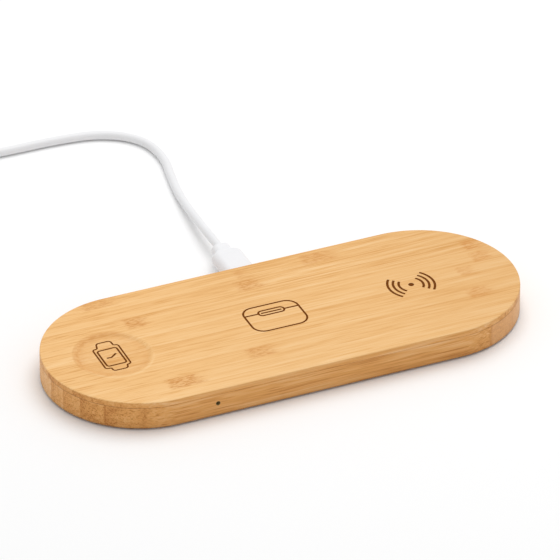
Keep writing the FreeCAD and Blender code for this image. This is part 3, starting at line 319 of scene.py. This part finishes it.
# The milled dish cuts its fibres at a slant, most at the ends of each strip, and shows darker there; this
# darkening of its back left wall is partly painted shade, a ring of painted shade lies at the foot of its
# wall, and its floor is a little darker and mottled
inner, outer = DISH_FLOOR * MM, DISH_RIM * MM
from_dish = along - WATCH_X * MM
reach = distance(from_dish, across * 0.95)
slope = soft_band(reach, (inner - 0.5, inner + 1.5), (outer - 0.2, outer + 0.7))
hollow_shade = soft_band(reach, (inner - 2.5, inner - 0.5), (inner + 0.5, inner + 2))
dished = 1 - soft_step(reach, inner, outer)
torn_and_shaded = soft_step((across - from_dish) / reach, -0.6, 1)
mottle = soft_step(noise(place, (3.5, 1.0, 1.0), 3.0, 0.6), 0.35, 0.65)
cut = slope * torn_and_shaded * (0.24 + mottle * 0.4) + dished * (0.1 + mottle * 0.22) + hollow_shade * 0.13
colour = blend(cut, colour, CUT_AND_SHADE_TONE)

# Its right wall is painted paler, as painted light where the wall is turned away from the lamp
right_wall_light = slope * soft_step((from_dish + across * 0.2) / reach, 0.5, 1.0) * 0.14
colour = blend(right_wall_light, colour, WALL_LIGHT_TONE)
# A painted highlight lies along the dish's front rim
rim = soft_band(reach, (outer - 1.2, outer - 0.2), (outer, outer + 0.8))
rim_highlight = rim * soft_step(across * -1 / reach, 0.3, 0.9) * 0.28
colour = blend(rim_highlight, colour, RIM_HIGHLIGHT_TONE)
wood_coat(place, colour, relief, PANEL_SHINE)

# The panel's edge shows the same strips, a little darker
EDGE_SHADE, EDGE_PORES, EDGE_CONTRAST = 0.14, 0.14, (1.2, 1.5)
EDGE_STRIPS = [(light - EDGE_SHADE, fibre, 1) for light, fibre, _ in PANEL_STRIPS]
edge_bamboo, place = new_material("edge_bamboo")
colour, relief = bamboo_grain(place, PANEL_STRIP, PANEL_JOINT, EDGE_STRIPS, EDGE_TONES,
                              EDGE_PORES, EDGE_CONTRAST)
wood_coat(place, colour, relief, EDGE_SHINE)

scorched, place = new_material("scorched_bamboo")
char = noise(place, (1.2, 0.5, 0.5), 3.0, 0.6)
coat(place, {
    "Base Color": blend(char, (0.1, 0.026, 0.002, 1), (0.24, 0.072, 0.006, 1)),
    "Roughness": 0.75 + (char - 0.5) * 0.3,
    "Specular IOR Level": 0.05,
    "Normal": bumped(char, 0.04),
})

MERGE_DISTANCE = 1e-6


def select_only(piece):
    """Leave one piece selected and active, in object mode."""
    bpy.ops.object.select_all(action="DESELECT")
    piece.select_set(True)
    bpy.context.view_layer.objects.active = piece


def pick(piece, kind, chosen):
    """Select in edit mode the vertices, edges or polygons whose corners are all chosen."""
    bpy.ops.object.mode_set(mode="EDIT")
    bpy.ops.mesh.select_mode(type={"vertices": "VERT", "edges": "EDGE", "polygons": "FACE"}[kind])
    bpy.ops.mesh.select_all(action="DESELECT")
    bpy.ops.object.mode_set(mode="OBJECT")
    points = piece.data.vertices
    for item in getattr(piece.data, kind):
        corners = [item.co] if kind == "vertices" else [points[n].co for n in item.vertices]
        item.select = all(chosen(corner) for corner in corners)
    bpy.ops.object.mode_set(mode="EDIT")


def close_up(piece):
    """Merge the doubled points of a mesh and turn its faces outward."""
    pick(piece, "vertices", lambda point: True)
    bpy.ops.mesh.remove_doubles(threshold=MERGE_DISTANCE)
    bpy.ops.mesh.normals_make_consistent(inside=False)
    bpy.ops.object.mode_set(mode="OBJECT")


def apply_modifier(piece, kind, **settings):
    """Add a modifier to a piece and apply it."""
    select_only(piece)
    modifier = piece.modifiers.new(kind.lower(), kind)
    for name, setting in settings.items():
        setattr(modifier, name, setting)
    bpy.ops.object.modifier_apply(modifier=modifier.name)


# A round plate, drawn out to the pad's length, with its top edge rounded and its glued edge chamfered
LEVEL_TOLERANCE = GLUE_CHAMFER / 4
bpy.ops.object.select_all(action="DESELECT")
bpy.ops.mesh.primitive_cylinder_add(vertices=END_POINTS, radius=PAD_WIDTH / 2, depth=PANEL_TOP - PANEL_LOW,
                                    location=(0, 0, (PANEL_TOP + PANEL_LOW) / 2),
                                    rotation=(0, 0, math.pi / END_POINTS))
panel = bpy.context.object
panel.name = "engraved_panel"
bpy.ops.object.transform_apply(location=True, rotation=True, scale=True)
for side in (-1, 1):
    pick(panel, "vertices", lambda point: point.x * side > 0)
    bpy.ops.transform.translate(value=(side * (PAD_LENGTH - PAD_WIDTH) / 2, 0, 0))
    bpy.ops.object.mode_set(mode="OBJECT")
for level, size, steps in ((PANEL_TOP, PANEL_ROUND, ROUND_STEPS), (PANEL_LOW, GLUE_CHAMFER, 1)):
    pick(panel, "edges", lambda point: abs(point.z - level) < LEVEL_TOLERANCE)
    bpy.ops.mesh.bevel(offset=size, segments=steps, affect="EDGES")
    bpy.ops.object.mode_set(mode="OBJECT")

# Faces that look mostly up have the panel's own finish, and the rest that of its edge
FACING_UP = 0.5
for finish in (panel_bamboo, edge_bamboo, scorched):
    panel.data.materials.append(finish)
for face in panel.data.polygons:
    face.material_index = 1 if face.normal.z < FACING_UP else 0

# The dish's cutter: a section of floor, hollow and crest, spun about the dish's middle and raised a hair,
# so that its crest isn't level with the wood
DISH_STEPS, DISH_TURNS = 12, 128
CUTTER_RAISE = GLUE_CHAMFER / 20
section = [(0, PANEL_TOP + DISH_DEPTH), (0, PANEL_TOP - DISH_DEPTH)]
for step in range(DISH_STEPS + 1):
    share = step / DISH_STEPS
    rise = DISH_DEPTH * share * share * (3 - 2 * share)
    section.append((DISH_FLOOR + (DISH_RIM - DISH_FLOOR) * share, PANEL_TOP - DISH_DEPTH + rise))
section.append((DISH_RIM, PANEL_TOP + DISH_DEPTH))

bpy.ops.object.select_all(action="DESELECT")
bpy.ops.mesh.primitive_circle_add(vertices=len(section), radius=DISH_RIM)
cutter = bpy.context.object
for vertex, (radius, level) in zip(cutter.data.vertices, section):
    vertex.co = (WATCH_X + radius, 0, level + CUTTER_RAISE)
pick(cutter, "vertices", lambda point: True)
bpy.ops.mesh.spin(steps=DISH_TURNS, angle=2 * math.pi, center=(WATCH_X, 0, 0), axis=(0, 0, 1))
bpy.ops.object.mode_set(mode="OBJECT")
close_up(cutter)
cutter.data.materials.append(panel_bamboo)
apply_modifier(panel, "BOOLEAN", operation="DIFFERENCE", solver="EXACT", object=cutter)
bpy.data.objects.remove(cutter)

# The symbols: each stroke is a round rod half sunk in the wood, and what it cuts is scorched
STROKE_DEPTH = 0.0002
ROD_FINENESS, ARC_STEPS = 4, 8


def engrave(cutter):
    """Cut a rod out of the panel, and scorch the groove."""
    cutter.data.materials.clear()
    cutter.data.materials.append(scorched)
    apply_modifier(panel, "BOOLEAN", operation="DIFFERENCE", solver="EXACT", object=cutter,
                   material_mode="TRANSFER")
    bpy.data.objects.remove(cutter)


def rod_height(width):
    """How far above the surface a rod's axis lies that cuts a groove of the given width."""
    return (width * width / 4 - STROKE_DEPTH * STROKE_DEPTH) / (2 * STROKE_DEPTH)


def engrave_line(width):
    """Turn the active outline into a rod and cut its groove."""
    bpy.ops.object.transform_apply(location=True, rotation=True, scale=True)
    bpy.ops.object.convert(target="CURVE")
    stroke = bpy.context.object.data
    stroke.bevel_depth = rod_height(width) + STROKE_DEPTH
    stroke.bevel_resolution = ROD_FINENESS
    stroke.use_fill_caps = True
    bpy.ops.object.convert(target="MESH")
    rod = bpy.context.object
    close_up(rod)
    engrave(rod)


def rounded(corners):
    """The closed line through square corners given as (x, y, radius), each turned in an arc."""
    points = []
    ahead, behind = corners[1:] + corners[:1], corners[-1:] + corners[:-1]
    for before, (x, y, radius), after in zip(behind, corners, ahead):
        corner = Vector((x, y))
        arrive = (Vector(before[:2]) - corner).normalized()
        leave = (Vector(after[:2]) - corner).normalized()
        for step in range(ARC_STEPS + 1):
            turn = math.pi / 2 * step / ARC_STEPS
            points.append(corner + radius * (arrive * (1 - math.sin(turn)) + leave * (1 - math.cos(turn))))
    return points


def engrave_outline(points, surface, width, closed=True):
    """Cut a groove along points given in millimetres, in a surface of the given height."""
    bpy.ops.object.select_all(action="DESELECT")
    bpy.ops.mesh.primitive_circle_add(vertices=len(points), radius=width)
    outline = bpy.context.object
    for vertex, (x, y) in zip(outline.data.vertices, points):
        vertex.co = (x / MM, y / MM, surface + rod_height(width))
    if not closed:
        ends = [outline.data.vertices[0].co.copy(), outline.data.vertices[-1].co.copy()]
        pick(outline, "edges", lambda point: point in ends)
        bpy.ops.mesh.delete(type="EDGE")
        bpy.ops.object.mode_set(mode="OBJECT")
    engrave_line(width)


# Watch symbol on the dish's floor: the outline of case and straps, the screen and two hands
WATCH_STROKE, SCREEN_STROKE, HAND_STROKE = 0.0008, 0.0009, 0.001
STRAP_ROUND, NECK_ROUND, CASE_ROUND, SCREEN_ROUND = 1.2, 0.65, 1.25, 1.2
WATCH_OUTLINE = [(-82.4, 11.7, STRAP_ROUND), (-75.95, 11.7, STRAP_ROUND), (-75.75, 7.9, NECK_ROUND),
                 (-73.8, 7.85, CASE_ROUND), (-74.15, -8.4, CASE_ROUND), (-76.1, -8.45, NECK_ROUND),
                 (-76.6, -11.0, STRAP_ROUND), (-83.3, -11.0, STRAP_ROUND), (-83.4, -8.45, NECK_ROUND),
                 (-85.95, -8.4, CASE_ROUND), (-85.7, 7.7, CASE_ROUND), (-83.45, 7.75, NECK_ROUND)]
SCREEN = [(-84.4, 5.85, SCREEN_ROUND), (-75.35, 6.05, SCREEN_ROUND), (-75.5, -6.8, SCREEN_ROUND),
          (-84.55, -6.9, SCREEN_ROUND)]
HANDS = [(-82.4, -0.65), (-80.25, -0.8), (-77.25, 1.5)]
dish_top = PANEL_TOP - DISH_DEPTH
engrave_outline(rounded(WATCH_OUTLINE), dish_top, WATCH_STROKE)
engrave_outline(rounded(SCREEN), dish_top, SCREEN_STROKE)
engrave_outline(HANDS, dish_top, HAND_STROKE, closed=False)

# Earbud case symbol: a rounded case, its lid line and the pill of its catch with a slit
BUD_STROKE = 0.001
BUD_ROUND, PILL_ROUND = 5.3, 1.7
BUD_CASE = [(-15.5, 10.3, BUD_ROUND), (9.9, 10.25, BUD_ROUND), (10.05, -9.35, BUD_ROUND),
            (-15.5, -9.25, BUD_ROUND)]
PILL = [(-8.8, 6.4, PILL_ROUND), (3.1, 6.4, PILL_ROUND), (3.1, 2.65, PILL_ROUND), (-8.8, 2.65, PILL_ROUND)]
LID_LINES = [[(-15.5, 4.72), (-12, 4.66), (-8.8, 4.6)],
             [(-7.7, 4.58), (-3, 4.5), (1.9, 4.42)],
             [(3.1, 4.4), (6.5, 4.34), (10, 4.27)]]
engrave_outline(rounded(BUD_CASE), PANEL_TOP, BUD_STROKE)
engrave_outline(rounded(PILL), PANEL_TOP, BUD_STROKE)
for lid_line in LID_LINES:
    engrave_outline(lid_line, PANEL_TOP, BUD_STROKE, closed=False)

# Radio wave symbol: a dot between two sets of arcs, each given by its distance from the dot and its radius
PHONE_X = 0.06185
ARC_STROKE, ARC_POINTS = 0.0012, 180
ARCS = (0.00535, 0.00625), (0.0078, 0.009), (0.01025, 0.0116)
ARC_HALF_ANGLE = math.radians(42.5)
ARC_LEAN, ARC_INNER_END = 0.0002, 0.645
DOT_RADIUS, DOT_POINTS = 0.0013, 48
for away, radius in ARCS:
    for side in (-1, 1):
        bpy.ops.object.select_all(action="DESELECT")
        bpy.ops.mesh.primitive_circle_add(vertices=ARC_POINTS, radius=radius)
        arc = bpy.context.object
        pick(arc, "vertices", lambda point: (point.x * side < radius * math.cos(ARC_HALF_ANGLE)
                                             or point.y * side < radius * -ARC_INNER_END))
        bpy.ops.mesh.delete(type="VERT")
        bpy.ops.object.mode_set(mode="OBJECT")
        arc.location = (PHONE_X - side * (radius - away), -side * ARC_LEAN,
                        PANEL_TOP + rod_height(ARC_STROKE))
        engrave_line(ARC_STROKE)
bpy.ops.object.select_all(action="DESELECT")
bpy.ops.mesh.primitive_cylinder_add(vertices=DOT_POINTS, radius=DOT_RADIUS, depth=4 * STROKE_DEPTH,
                                    location=(PHONE_X, 0, PANEL_TOP + STROKE_DEPTH))
engrave(bpy.context.object)

PANEL_SMOOTH = math.radians(30)
pick(panel, "vertices", lambda point: True)
bpy.ops.mesh.remove_doubles(threshold=MERGE_DISTANCE)
bpy.ops.object.mode_set(mode="OBJECT")
bpy.ops.object.shade_smooth_by_angle(angle=PANEL_SMOOTH)
apply_modifier(panel, "WEIGHTED_NORMAL", keep_sharp=True)
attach(panel, "station")
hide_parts("top_panel")

# Status light: a small lamp lying on the board's front edge, and a smoky plastic
# rod in the front wall that carries its light out.

resin, place = new_material("lamp_resin")
cloud = noise(place, (1.5, 1.5, 1.5))
coat(place, {
    "Base Color": blend(cloud, (0.55, 0.6, 0.62, 1), (0.75, 0.8, 0.82, 1)),
    "Roughness": 0.12 + cloud * 0.1,
})
dress(resin, "status_led")

smoky, place = new_material("smoky_rod")
cloud = noise(place, (0.6, 2.0, 0.6))
coat(place, {
    "Base Color": blend(cloud, (0.34, 0.255, 0.12, 1), (0.46, 0.35, 0.18, 1)),
    "Roughness": 0.25 + cloud * 0.15,
    "Normal": bumped(cloud, 0.02),
})
dress(smoky, "light_pipe")

# Circuit board: green laminate with copper tracks under the mask, on four
# standoffs, with its soldered parts.

mask, place = new_material("board_mask")
track = soft_step((cells(place, (4.2, 2.6, 4.0), "MANHATTAN") * 5).math("FRACT"), 0.55, 0.7)
weave = noise(place, (0.3, 0.3, 0.3))
laminate = blend(weave, (0.006, 0.075, 0.028, 1), (0.012, 0.11, 0.045, 1))
coat(place, {
    "Base Color": blend(track * 0.8, laminate, (0.03, 0.22, 0.075, 1)),
    "Roughness": 0.35 + weave * 0.15,
    "Normal": bumped(track + weave * 0.2, 0.03),
})
dress(mask, "main_board")

moulded, place = new_material("chip_resin")
grit = noise(place, (0.12, 0.12, 0.12), 3.0)
coat(place, {
    "Base Color": blend(grit, (0.012, 0.012, 0.013, 1), (0.035, 0.035, 0.036, 1)),
    "Roughness": 0.55 + grit * 0.3,
    "Normal": bumped(grit, 0.02),
})
dress(moulded, "driver_chips")

ferrite, place = new_material("ferrite")
grit = noise(place, (0.25, 0.25, 0.25), 4.0, 0.7)
coat(place, {
    "Base Color": blend(soft_step(grit, 0.3, 0.7), (0.035, 0.035, 0.038, 1), (0.11, 0.11, 0.115, 1)),
    "Roughness": 0.6 + grit * 0.3,
    "Normal": bumped(grit, 0.04),
})
dress(ferrite, "board_inductors", "phone_ferrite", "earbud_ferrite", "watch_ferrite")

# Capacitors: fired brown bodies with tinned caps, placed by their shares of the board's length
BOARD_LEFT, BOARD_LENGTH = -58.0, 76.0
CAPACITOR_SHARES = (0.48, 0.54, 0.6, 0.9)
CAPACITOR_BODY = 1.05


def off_nearest(along, middles):
    """How far a place lies along X from the nearest of several middles."""
    return joined([(along - middle).math("ABSOLUTE") for middle in middles], "MINIMUM")


fired, place = new_material("capacitor_body")
off = off_nearest(parts_of(place)[0], [BOARD_LEFT + share * BOARD_LENGTH for share in CAPACITOR_SHARES])
cap = soft_step(off, CAPACITOR_BODY, CAPACITOR_BODY + 0.1)
grit = noise(place, (0.4, 0.4, 0.4), 3.0)
body = blend(grit, (0.3, 0.19, 0.1, 1), (0.46, 0.32, 0.19, 1))
coat(place, {
    "Base Color": blend(cap, body, (0.68, 0.67, 0.65, 1)),
    "Metallic": cap,
    "Roughness": 0.5 - cap * 0.15 + grit * 0.1,
    "Normal": bumped(grit + cap * 0.5, 0.03),
})
dress(fired, "tuning_capacitors")

# Charging coils: flat windings of enamelled copper on ferrite plates, taped under the
# panel, with a magnet in the watch's coil and leads down to the board.

copper, place = new_material("enamelled_copper")
strands = noise(place, (0.9, 0.9, 0.12), 3.0)
tarnish = noise(place, (9, 9, 9))
coat(place, {
    "Base Color": blend(tarnish, (0.5, 0.17, 0.06, 1), (0.75, 0.33, 0.14, 1)),
    "Metallic": 0.9,
    "Roughness": 0.25 + strands * 0.2,
    "Coat Weight": 0.4,
    "Normal": bumped(strands, 0.03),
})
dress(copper, "phone_coil", "earbud_coil", "watch_coil", "coil_leads")

film, place = new_material("amber_tape")
ripple = noise(place, (6, 2, 4))
coat(place, {
    "Base Color": blend(ripple, (0.5, 0.3, 0.08, 1), (0.66, 0.44, 0.15, 1)),
    "Roughness": 0.2 + ripple * 0.2,
    "Normal": bumped(ripple, 0.05),
})
dress(film, "coil_tape")

plated, place = new_material("nickel_plate")
cloud = noise(place, (1.2, 1.2, 1.2), 3.0)
coat(place, {
    "Base Color": blend(cloud, (0.55, 0.53, 0.49, 1), (0.68, 0.66, 0.62, 1)),
    "Metallic": 1.0,
    "Roughness": 0.18 + cloud * 0.15,
})
dress(plated, "watch_magnet")

# Cover: a moulded black plate let into the frame from below, with its countersunk
# screws and rubber feet.

textured, place = new_material("cover_plastic")
spark = noise(place, (0.3, 0.3, 0.3), 3.0, 0.6)
flow = noise(place, (30, 20, 10))
coat(place, {
    "Base Color": blend(flow, (0.016, 0.016, 0.017, 1), (0.03, 0.03, 0.031, 1)),
    "Roughness": 0.5 + spark * 0.25,
    "Normal": bumped(spark, 0.04),
})
dress(textured, "bottom_cover")

steel, place = new_material("screw_steel")
scratch = noise(place, (0.15, 1.5, 0.6), 3.0)
coat(place, {
    "Base Color": blend(scratch, (0.32, 0.32, 0.33, 1), (0.5, 0.5, 0.5, 1)),
    "Metallic": 1.0,
    "Roughness": 0.28 + scratch * 0.2,
    "Normal": bumped(scratch, 0.01),
})
dress(steel, "cover_screws", "board_screws")

rubber, place = new_material("foot_rubber")
stipple = noise(place, (0.25, 0.25, 0.25))
dust = noise(place, (5, 5, 5), 3.0)
coat(place, {
    "Base Color": blend(soft_step(dust, 0.45, 0.75), (0.025, 0.025, 0.025, 1), (0.06, 0.058, 0.055, 1)),
    "Roughness": 0.75 + stipple * 0.2,
    "Normal": bumped(stipple, 0.05),
})
dress(rubber, "rubber_feet")

# Socket and plug: drawn steel shells with black moulded tongues that carry gold
# contacts, and the plug's white moulded grip.

GOLD = (0.72, 0.48, 0.16, 1)

shell, place = new_material("drawn_steel")
draw = noise(place, (0.08, 6, 0.08), 3.0)
coat(place, {
    "Base Color": blend(draw, (0.52, 0.52, 0.53, 1), (0.66, 0.66, 0.66, 1)),
    "Metallic": 1.0,
    "Roughness": 0.22 + draw * 0.2,
    "Normal": bumped(draw, 0.008),
})
dress(shell, "socket_shell", "plug_shell", "supply_shell")

CONTACT_PITCH = 0.5
contact, place = new_material("contact_tongue")
along = parts_of(place)[0]
between = soft_step(((along / CONTACT_PITCH).math("FRACT") - 0.5).math("ABSOLUTE"), 0.2, 0.26)
grit = noise(place, (0.2, 0.2, 0.2))
coat(place, {
    "Base Color": blend(between, GOLD, blend(grit, (0.012, 0.012, 0.012, 1), (0.03, 0.03, 0.03, 1))),
    "Metallic": 1 - between,
    "Roughness": 0.3 + between * 0.25 + grit * 0.1,
})
dress(contact, "socket_tongue", "plug_insert")

white, place = new_material("white_mould")
spark = noise(place, (0.22, 0.22, 0.22), 3.0, 0.6)
flow = noise(place, (8, 8, 8))
coat(place, {
    "Base Color": blend(flow, (0.82, 0.82, 0.835, 1), (0.86, 0.86, 0.875, 1)),
    "Roughness": 0.38 + spark * 0.15,
    "Normal": bumped(spark, 0.012),
})
dress(white, "plug_grip", "supply_grip")

SUPPLY_X, SUPPLY_CONTACTS, SUPPLY_CONTACT_WIDTH = -128.98, (-3.5, -1.0, 1.0, 3.5), 1.1
blade, place = new_material("supply_contacts")
off = off_nearest(parts_of(place)[0], [SUPPLY_X + contact_x for contact_x in SUPPLY_CONTACTS])
strip = 1 - soft_step(off, SUPPLY_CONTACT_WIDTH / 2 - 0.05, SUPPLY_CONTACT_WIDTH / 2)
grit = noise(place, (0.2, 0.2, 0.2))
coat(place, {
    "Base Color": blend(strip, blend(grit, (0.8, 0.8, 0.8, 1), (0.86, 0.86, 0.86, 1)), GOLD),
    "Metallic": strip,
    "Roughness": 0.5 - strip * 0.2 + grit * 0.1,
})
dress(blade, "supply_tongue")

# Cord: a round white lead, plugged into the pad, that lies in a loose curve on the surface.
# What the view doesn't take in is wound into a neat two-layer coil for storage, in a
# silicone strap, and its other end has a flat supply plug.

CORD_DIAMETER = 4.0
CORD_FINENESS, CORD_STEPS_A_POINT = 6, 8
NECK = (1.45, 71.3, 6.9)
CORD_STEPS = [(0.0, 12.5, 6.9), (1.2, 30.7, 5.0), (3.3, 52.0, 2.4), (6.0, 68.4, 2.05), (10.6, 89.4, 2.05),
              (7.0, 106.9, 2.05), (-8.2, 118.7, 2.05), (-31.1, 121.4, 2.05), (-58.0, 121.3, 2.05)]
COIL_MIDDLE = (-100.05, 160.0)
COIL_TURNS, COIL_START = 5.214, math.radians(103)
COIL_RADIUS, LOOP_PITCH = 16.7, 4.5
LOWER_LAYER = 2.95
POINTS_A_TURN = 24
COIL_LEAD_IN, COIL_STRAIGHT, TAIL_LEAD_OUT = 25.0, 4.0, 12.0
TAIL_STEPS = [(-0.4, -27.5), (-0.4, -39.0)]
SUPPLY_AXIS = 4.0


def coil_point(turn):
    """The coil's line after a number of turns: in on the lower layer, up in the middle, out above."""
    away = turn - COIL_TURNS / 2
    radius = COIL_RADIUS + LOOP_PITCH * abs(away)
    angle = COIL_START + 2 * math.pi * turn
    climb = min(max(2 * away + 0.5, 0), 1)
    height = LOWER_LAYER + LOOP_PITCH * climb * climb * (3 - 2 * climb)
    middle_x, middle_y = COIL_MIDDLE
    return Vector((middle_x + radius * math.cos(angle), middle_y + radius * math.sin(angle), height))


def coil_heading(turn):
    """The direction in which the coil's line runs, level."""
    step = coil_point(turn + 0.001) - coil_point(turn - 0.001)
    step.z = 0
    return step.normalized()


coil_start = coil_point(0) - coil_heading(0) * COIL_STRAIGHT
coil_end = coil_point(COIL_TURNS) + coil_heading(COIL_TURNS) * COIL_STRAIGHT
route = [Vector(NECK)] + [Vector((NECK[0] + x, NECK[1] + y, z)) for x, y, z in CORD_STEPS]
route += [coil_start - coil_heading(0) * COIL_LEAD_IN, coil_start]
turns = round(COIL_TURNS * POINTS_A_TURN)
route += [coil_point(COIL_TURNS * n / turns) for n in range(turns + 1)]
route += [coil_end, coil_end + coil_heading(COIL_TURNS) * TAIL_LEAD_OUT]
route += [Vector((coil_end.x + x, coil_end.y + y, SUPPLY_AXIS)) for x, y in TAIL_STEPS]

line = bpy.data.curves.new("supply_cord", "CURVE")
line.dimensions = "3D"
spline = line.splines.new("NURBS")
spline.points.add(len(route) - 1)
for point, (x, y, z) in zip(spline.points, route):
    point.co = (x / MM, y / MM, z / MM, 1)
spline.order_u = 3
spline.use_endpoint_u = True
spline.resolution_u = CORD_STEPS_A_POINT
line.bevel_depth = CORD_DIAMETER / 2 / MM
line.bevel_resolution = CORD_FINENESS
line.use_fill_caps = True
cord = bpy.data.objects.new("supply_cord", line)
bpy.context.scene.collection.objects.link(cord)

jacket, place = new_material("cord_jacket")
skin = noise(place, (0.35, 0.35, 0.35))
flow = noise(place, (14, 14, 14))
coat(place, {
    "Base Color": blend(flow, (0.8, 0.8, 0.81, 1), (0.84, 0.84, 0.85, 1)),
    "Roughness": 0.4 + skin * 0.12,
    "Normal": bumped(skin, 0.01),
})
line.materials.append(jacket)

# The strap: a soft band round the coil's loops, made as an open box with rounded corners and
# given its thickness, with its lapped end on top
LOOPS_WIDE, LOOPS_HIGH, LOOPS_MIDDLE = 0.01423, 0.0090, 0.02308
STRAP_WIDTH, STRAP_THICK = 0.007, 0.0007
STRAP_CORNER, CORNER_STEPS = 0.002, 8
STRAP_EASE, EASE_STEPS = STRAP_THICK / 4, 2
STRAP_SMOOTH = math.radians(40)
STRAP_ANGLE = COIL_START + 2 * math.pi * (COIL_TURNS / 2 - 0.5)
LAP_LENGTH, LAP_WIDTH = 0.008, STRAP_WIDTH * 0.9
LAP_PLACE = (LOOPS_MIDDLE + LAP_LENGTH / 4, 0, LOOPS_HIGH + 2.4 * STRAP_THICK)

bpy.ops.object.select_all(action="DESELECT")
bpy.ops.mesh.primitive_cube_add(size=1, location=(LOOPS_MIDDLE, 0, LOOPS_HIGH / 2 + STRAP_THICK),
                                scale=(LOOPS_WIDE + 2 * STRAP_THICK, STRAP_WIDTH,
                                       LOOPS_HIGH + 2 * STRAP_THICK))
strap = bpy.context.object
strap.name = "coil_strap"
bpy.ops.object.transform_apply(location=True, rotation=True, scale=True)
for side in (1, -1):
    pick(strap, "polygons", lambda point: point.y * side > 0)
    bpy.ops.mesh.delete(type="FACE")
    bpy.ops.mesh.select_all(action="DESELECT")
    bpy.ops.object.mode_set(mode="OBJECT")
for edge in strap.data.edges:
    first, second = (strap.data.vertices[n].co for n in edge.vertices)
    edge.select = abs(first.y - second.y) > STRAP_WIDTH / 2
bpy.ops.object.mode_set(mode="EDIT")
bpy.ops.mesh.bevel(offset=STRAP_CORNER, segments=CORNER_STEPS, affect="EDGES")
bpy.ops.object.mode_set(mode="OBJECT")
apply_modifier(strap, "SOLIDIFY", thickness=STRAP_THICK, offset=-1)
bpy.ops.object.select_all(action="DESELECT")
bpy.ops.mesh.primitive_cube_add(size=1, location=LAP_PLACE, scale=(LAP_LENGTH, LAP_WIDTH, STRAP_THICK))
bpy.ops.object.transform_apply(location=True, rotation=True, scale=True)
strap.select_set(True)
bpy.context.view_layer.objects.active = strap
bpy.ops.object.join()
apply_modifier(strap, "BEVEL", width=STRAP_EASE, segments=EASE_STEPS, limit_method="ANGLE")
strap.rotation_euler = (0, 0, STRAP_ANGLE)
strap.location = (COIL_MIDDLE[0] / MM, COIL_MIDDLE[1] / MM, 0)
select_only(strap)
bpy.ops.object.transform_apply(location=True, rotation=True, scale=True)
bpy.ops.object.shade_smooth_by_angle(angle=STRAP_SMOOTH)

silicone, place = new_material("strap_silicone")
skin = noise(place, (0.5, 0.5, 0.5), 3.0)
coat(place, {
    "Base Color": blend(skin, (0.62, 0.62, 0.62, 1), (0.7, 0.7, 0.7, 1)),
    "Roughness": 0.55 + skin * 0.2,
    "Normal": bumped(skin, 0.04),
})
strap.data.materials.append(silicone)
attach(strap, "lead")
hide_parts("cord_tie")

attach(cord, "lead")
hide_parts("cord_run", "cord_coil", "cord_tail")

# Floor, lights and camera: a pale table in a soft studio, seen as the photograph
# sees it, through a long lens.

FLOOR_SIZE = 8
bpy.ops.object.select_all(action="DESELECT")
bpy.ops.mesh.primitive_plane_add(size=FLOOR_SIZE)
floor = bpy.context.object
floor.name = "floor"
pale, place = new_material("pale_floor")
coat(place, {"Base Color": (0.97, 0.97, 0.97, 1), "Roughness": 0.9, "Specular IOR Level": 0.1})
floor.data.materials.append(pale)

# One wide lamp above the table, pointed at the pad
OVERHEAD_PLACE = Vector((0.4, 0.45, 1.55))
OVERHEAD_SIZE, OVERHEAD_POWER = 1.4, 15.5
lamp = bpy.data.lights.new("overhead", "AREA")
lamp.size = OVERHEAD_SIZE
lamp.energy = OVERHEAD_POWER
overhead = bpy.data.objects.new("overhead", lamp)
overhead.location = OVERHEAD_PLACE
overhead.rotation_euler = (-OVERHEAD_PLACE).to_track_quat("-Z", "Y").to_euler()
overhead.visible_camera = False
bpy.context.scene.collection.objects.link(overhead)

# Soft light from all round, which is plain white where it is seen, mirrored or looked through
AMBIENT = 0.62
world = bpy.data.worlds.new("studio")
bpy.context.scene.world = world
world.use_nodes = True
world.node_tree.nodes.clear()
studio = Paint(world.node_tree)
camera_ray = studio.node("ShaderNodeLightPath", {}, {}, out="Is Camera Ray")
rays = camera_ray.socket.node.outputs
mirrored = Paint(studio.tree, rays["Is Glossy Ray"])
looked_through = Paint(studio.tree, rays["Is Transmission Ray"])
seen = camera_ray + mirrored + looked_through
strength = seen.math("MINIMUM", 1.0) * (1 - AMBIENT) + AMBIENT
background = studio.node("ShaderNodeBackground", {}, {"Color": (1, 1, 1, 1), "Strength": strength})
studio.node("ShaderNodeOutputWorld", {}, {"Surface": background})

# The camera stands far back with a long lens: its focal length is 8000 pixels of a frame of 560
CAMERA_TARGET = Vector((0.0191, 0.04542, 0.0008))
CAMERA_DISTANCE = 3.5254
CAMERA_AZIMUTH, CAMERA_ELEVATION = math.radians(-23.525), math.radians(32.321)
SENSOR_WIDTH = 36.0
FOCAL_SHARE = 8000 / 560
back = Vector((math.sin(CAMERA_AZIMUTH) * math.cos(CAMERA_ELEVATION),
               -math.cos(CAMERA_AZIMUTH) * math.cos(CAMERA_ELEVATION), math.sin(CAMERA_ELEVATION)))
view = bpy.data.cameras.new("camera")
view.sensor_width = SENSOR_WIDTH
view.lens = SENSOR_WIDTH * FOCAL_SHARE
camera = bpy.data.objects.new("camera", view)
camera.location = CAMERA_TARGET + back * CAMERA_DISTANCE
camera.rotation_euler = back.to_track_quat("Z", "Y").to_euler()
bpy.context.scene.collection.objects.link(camera)
bpy.context.scene.camera = camera
bpy.context.scene.view_settings.view_transform = "Standard"
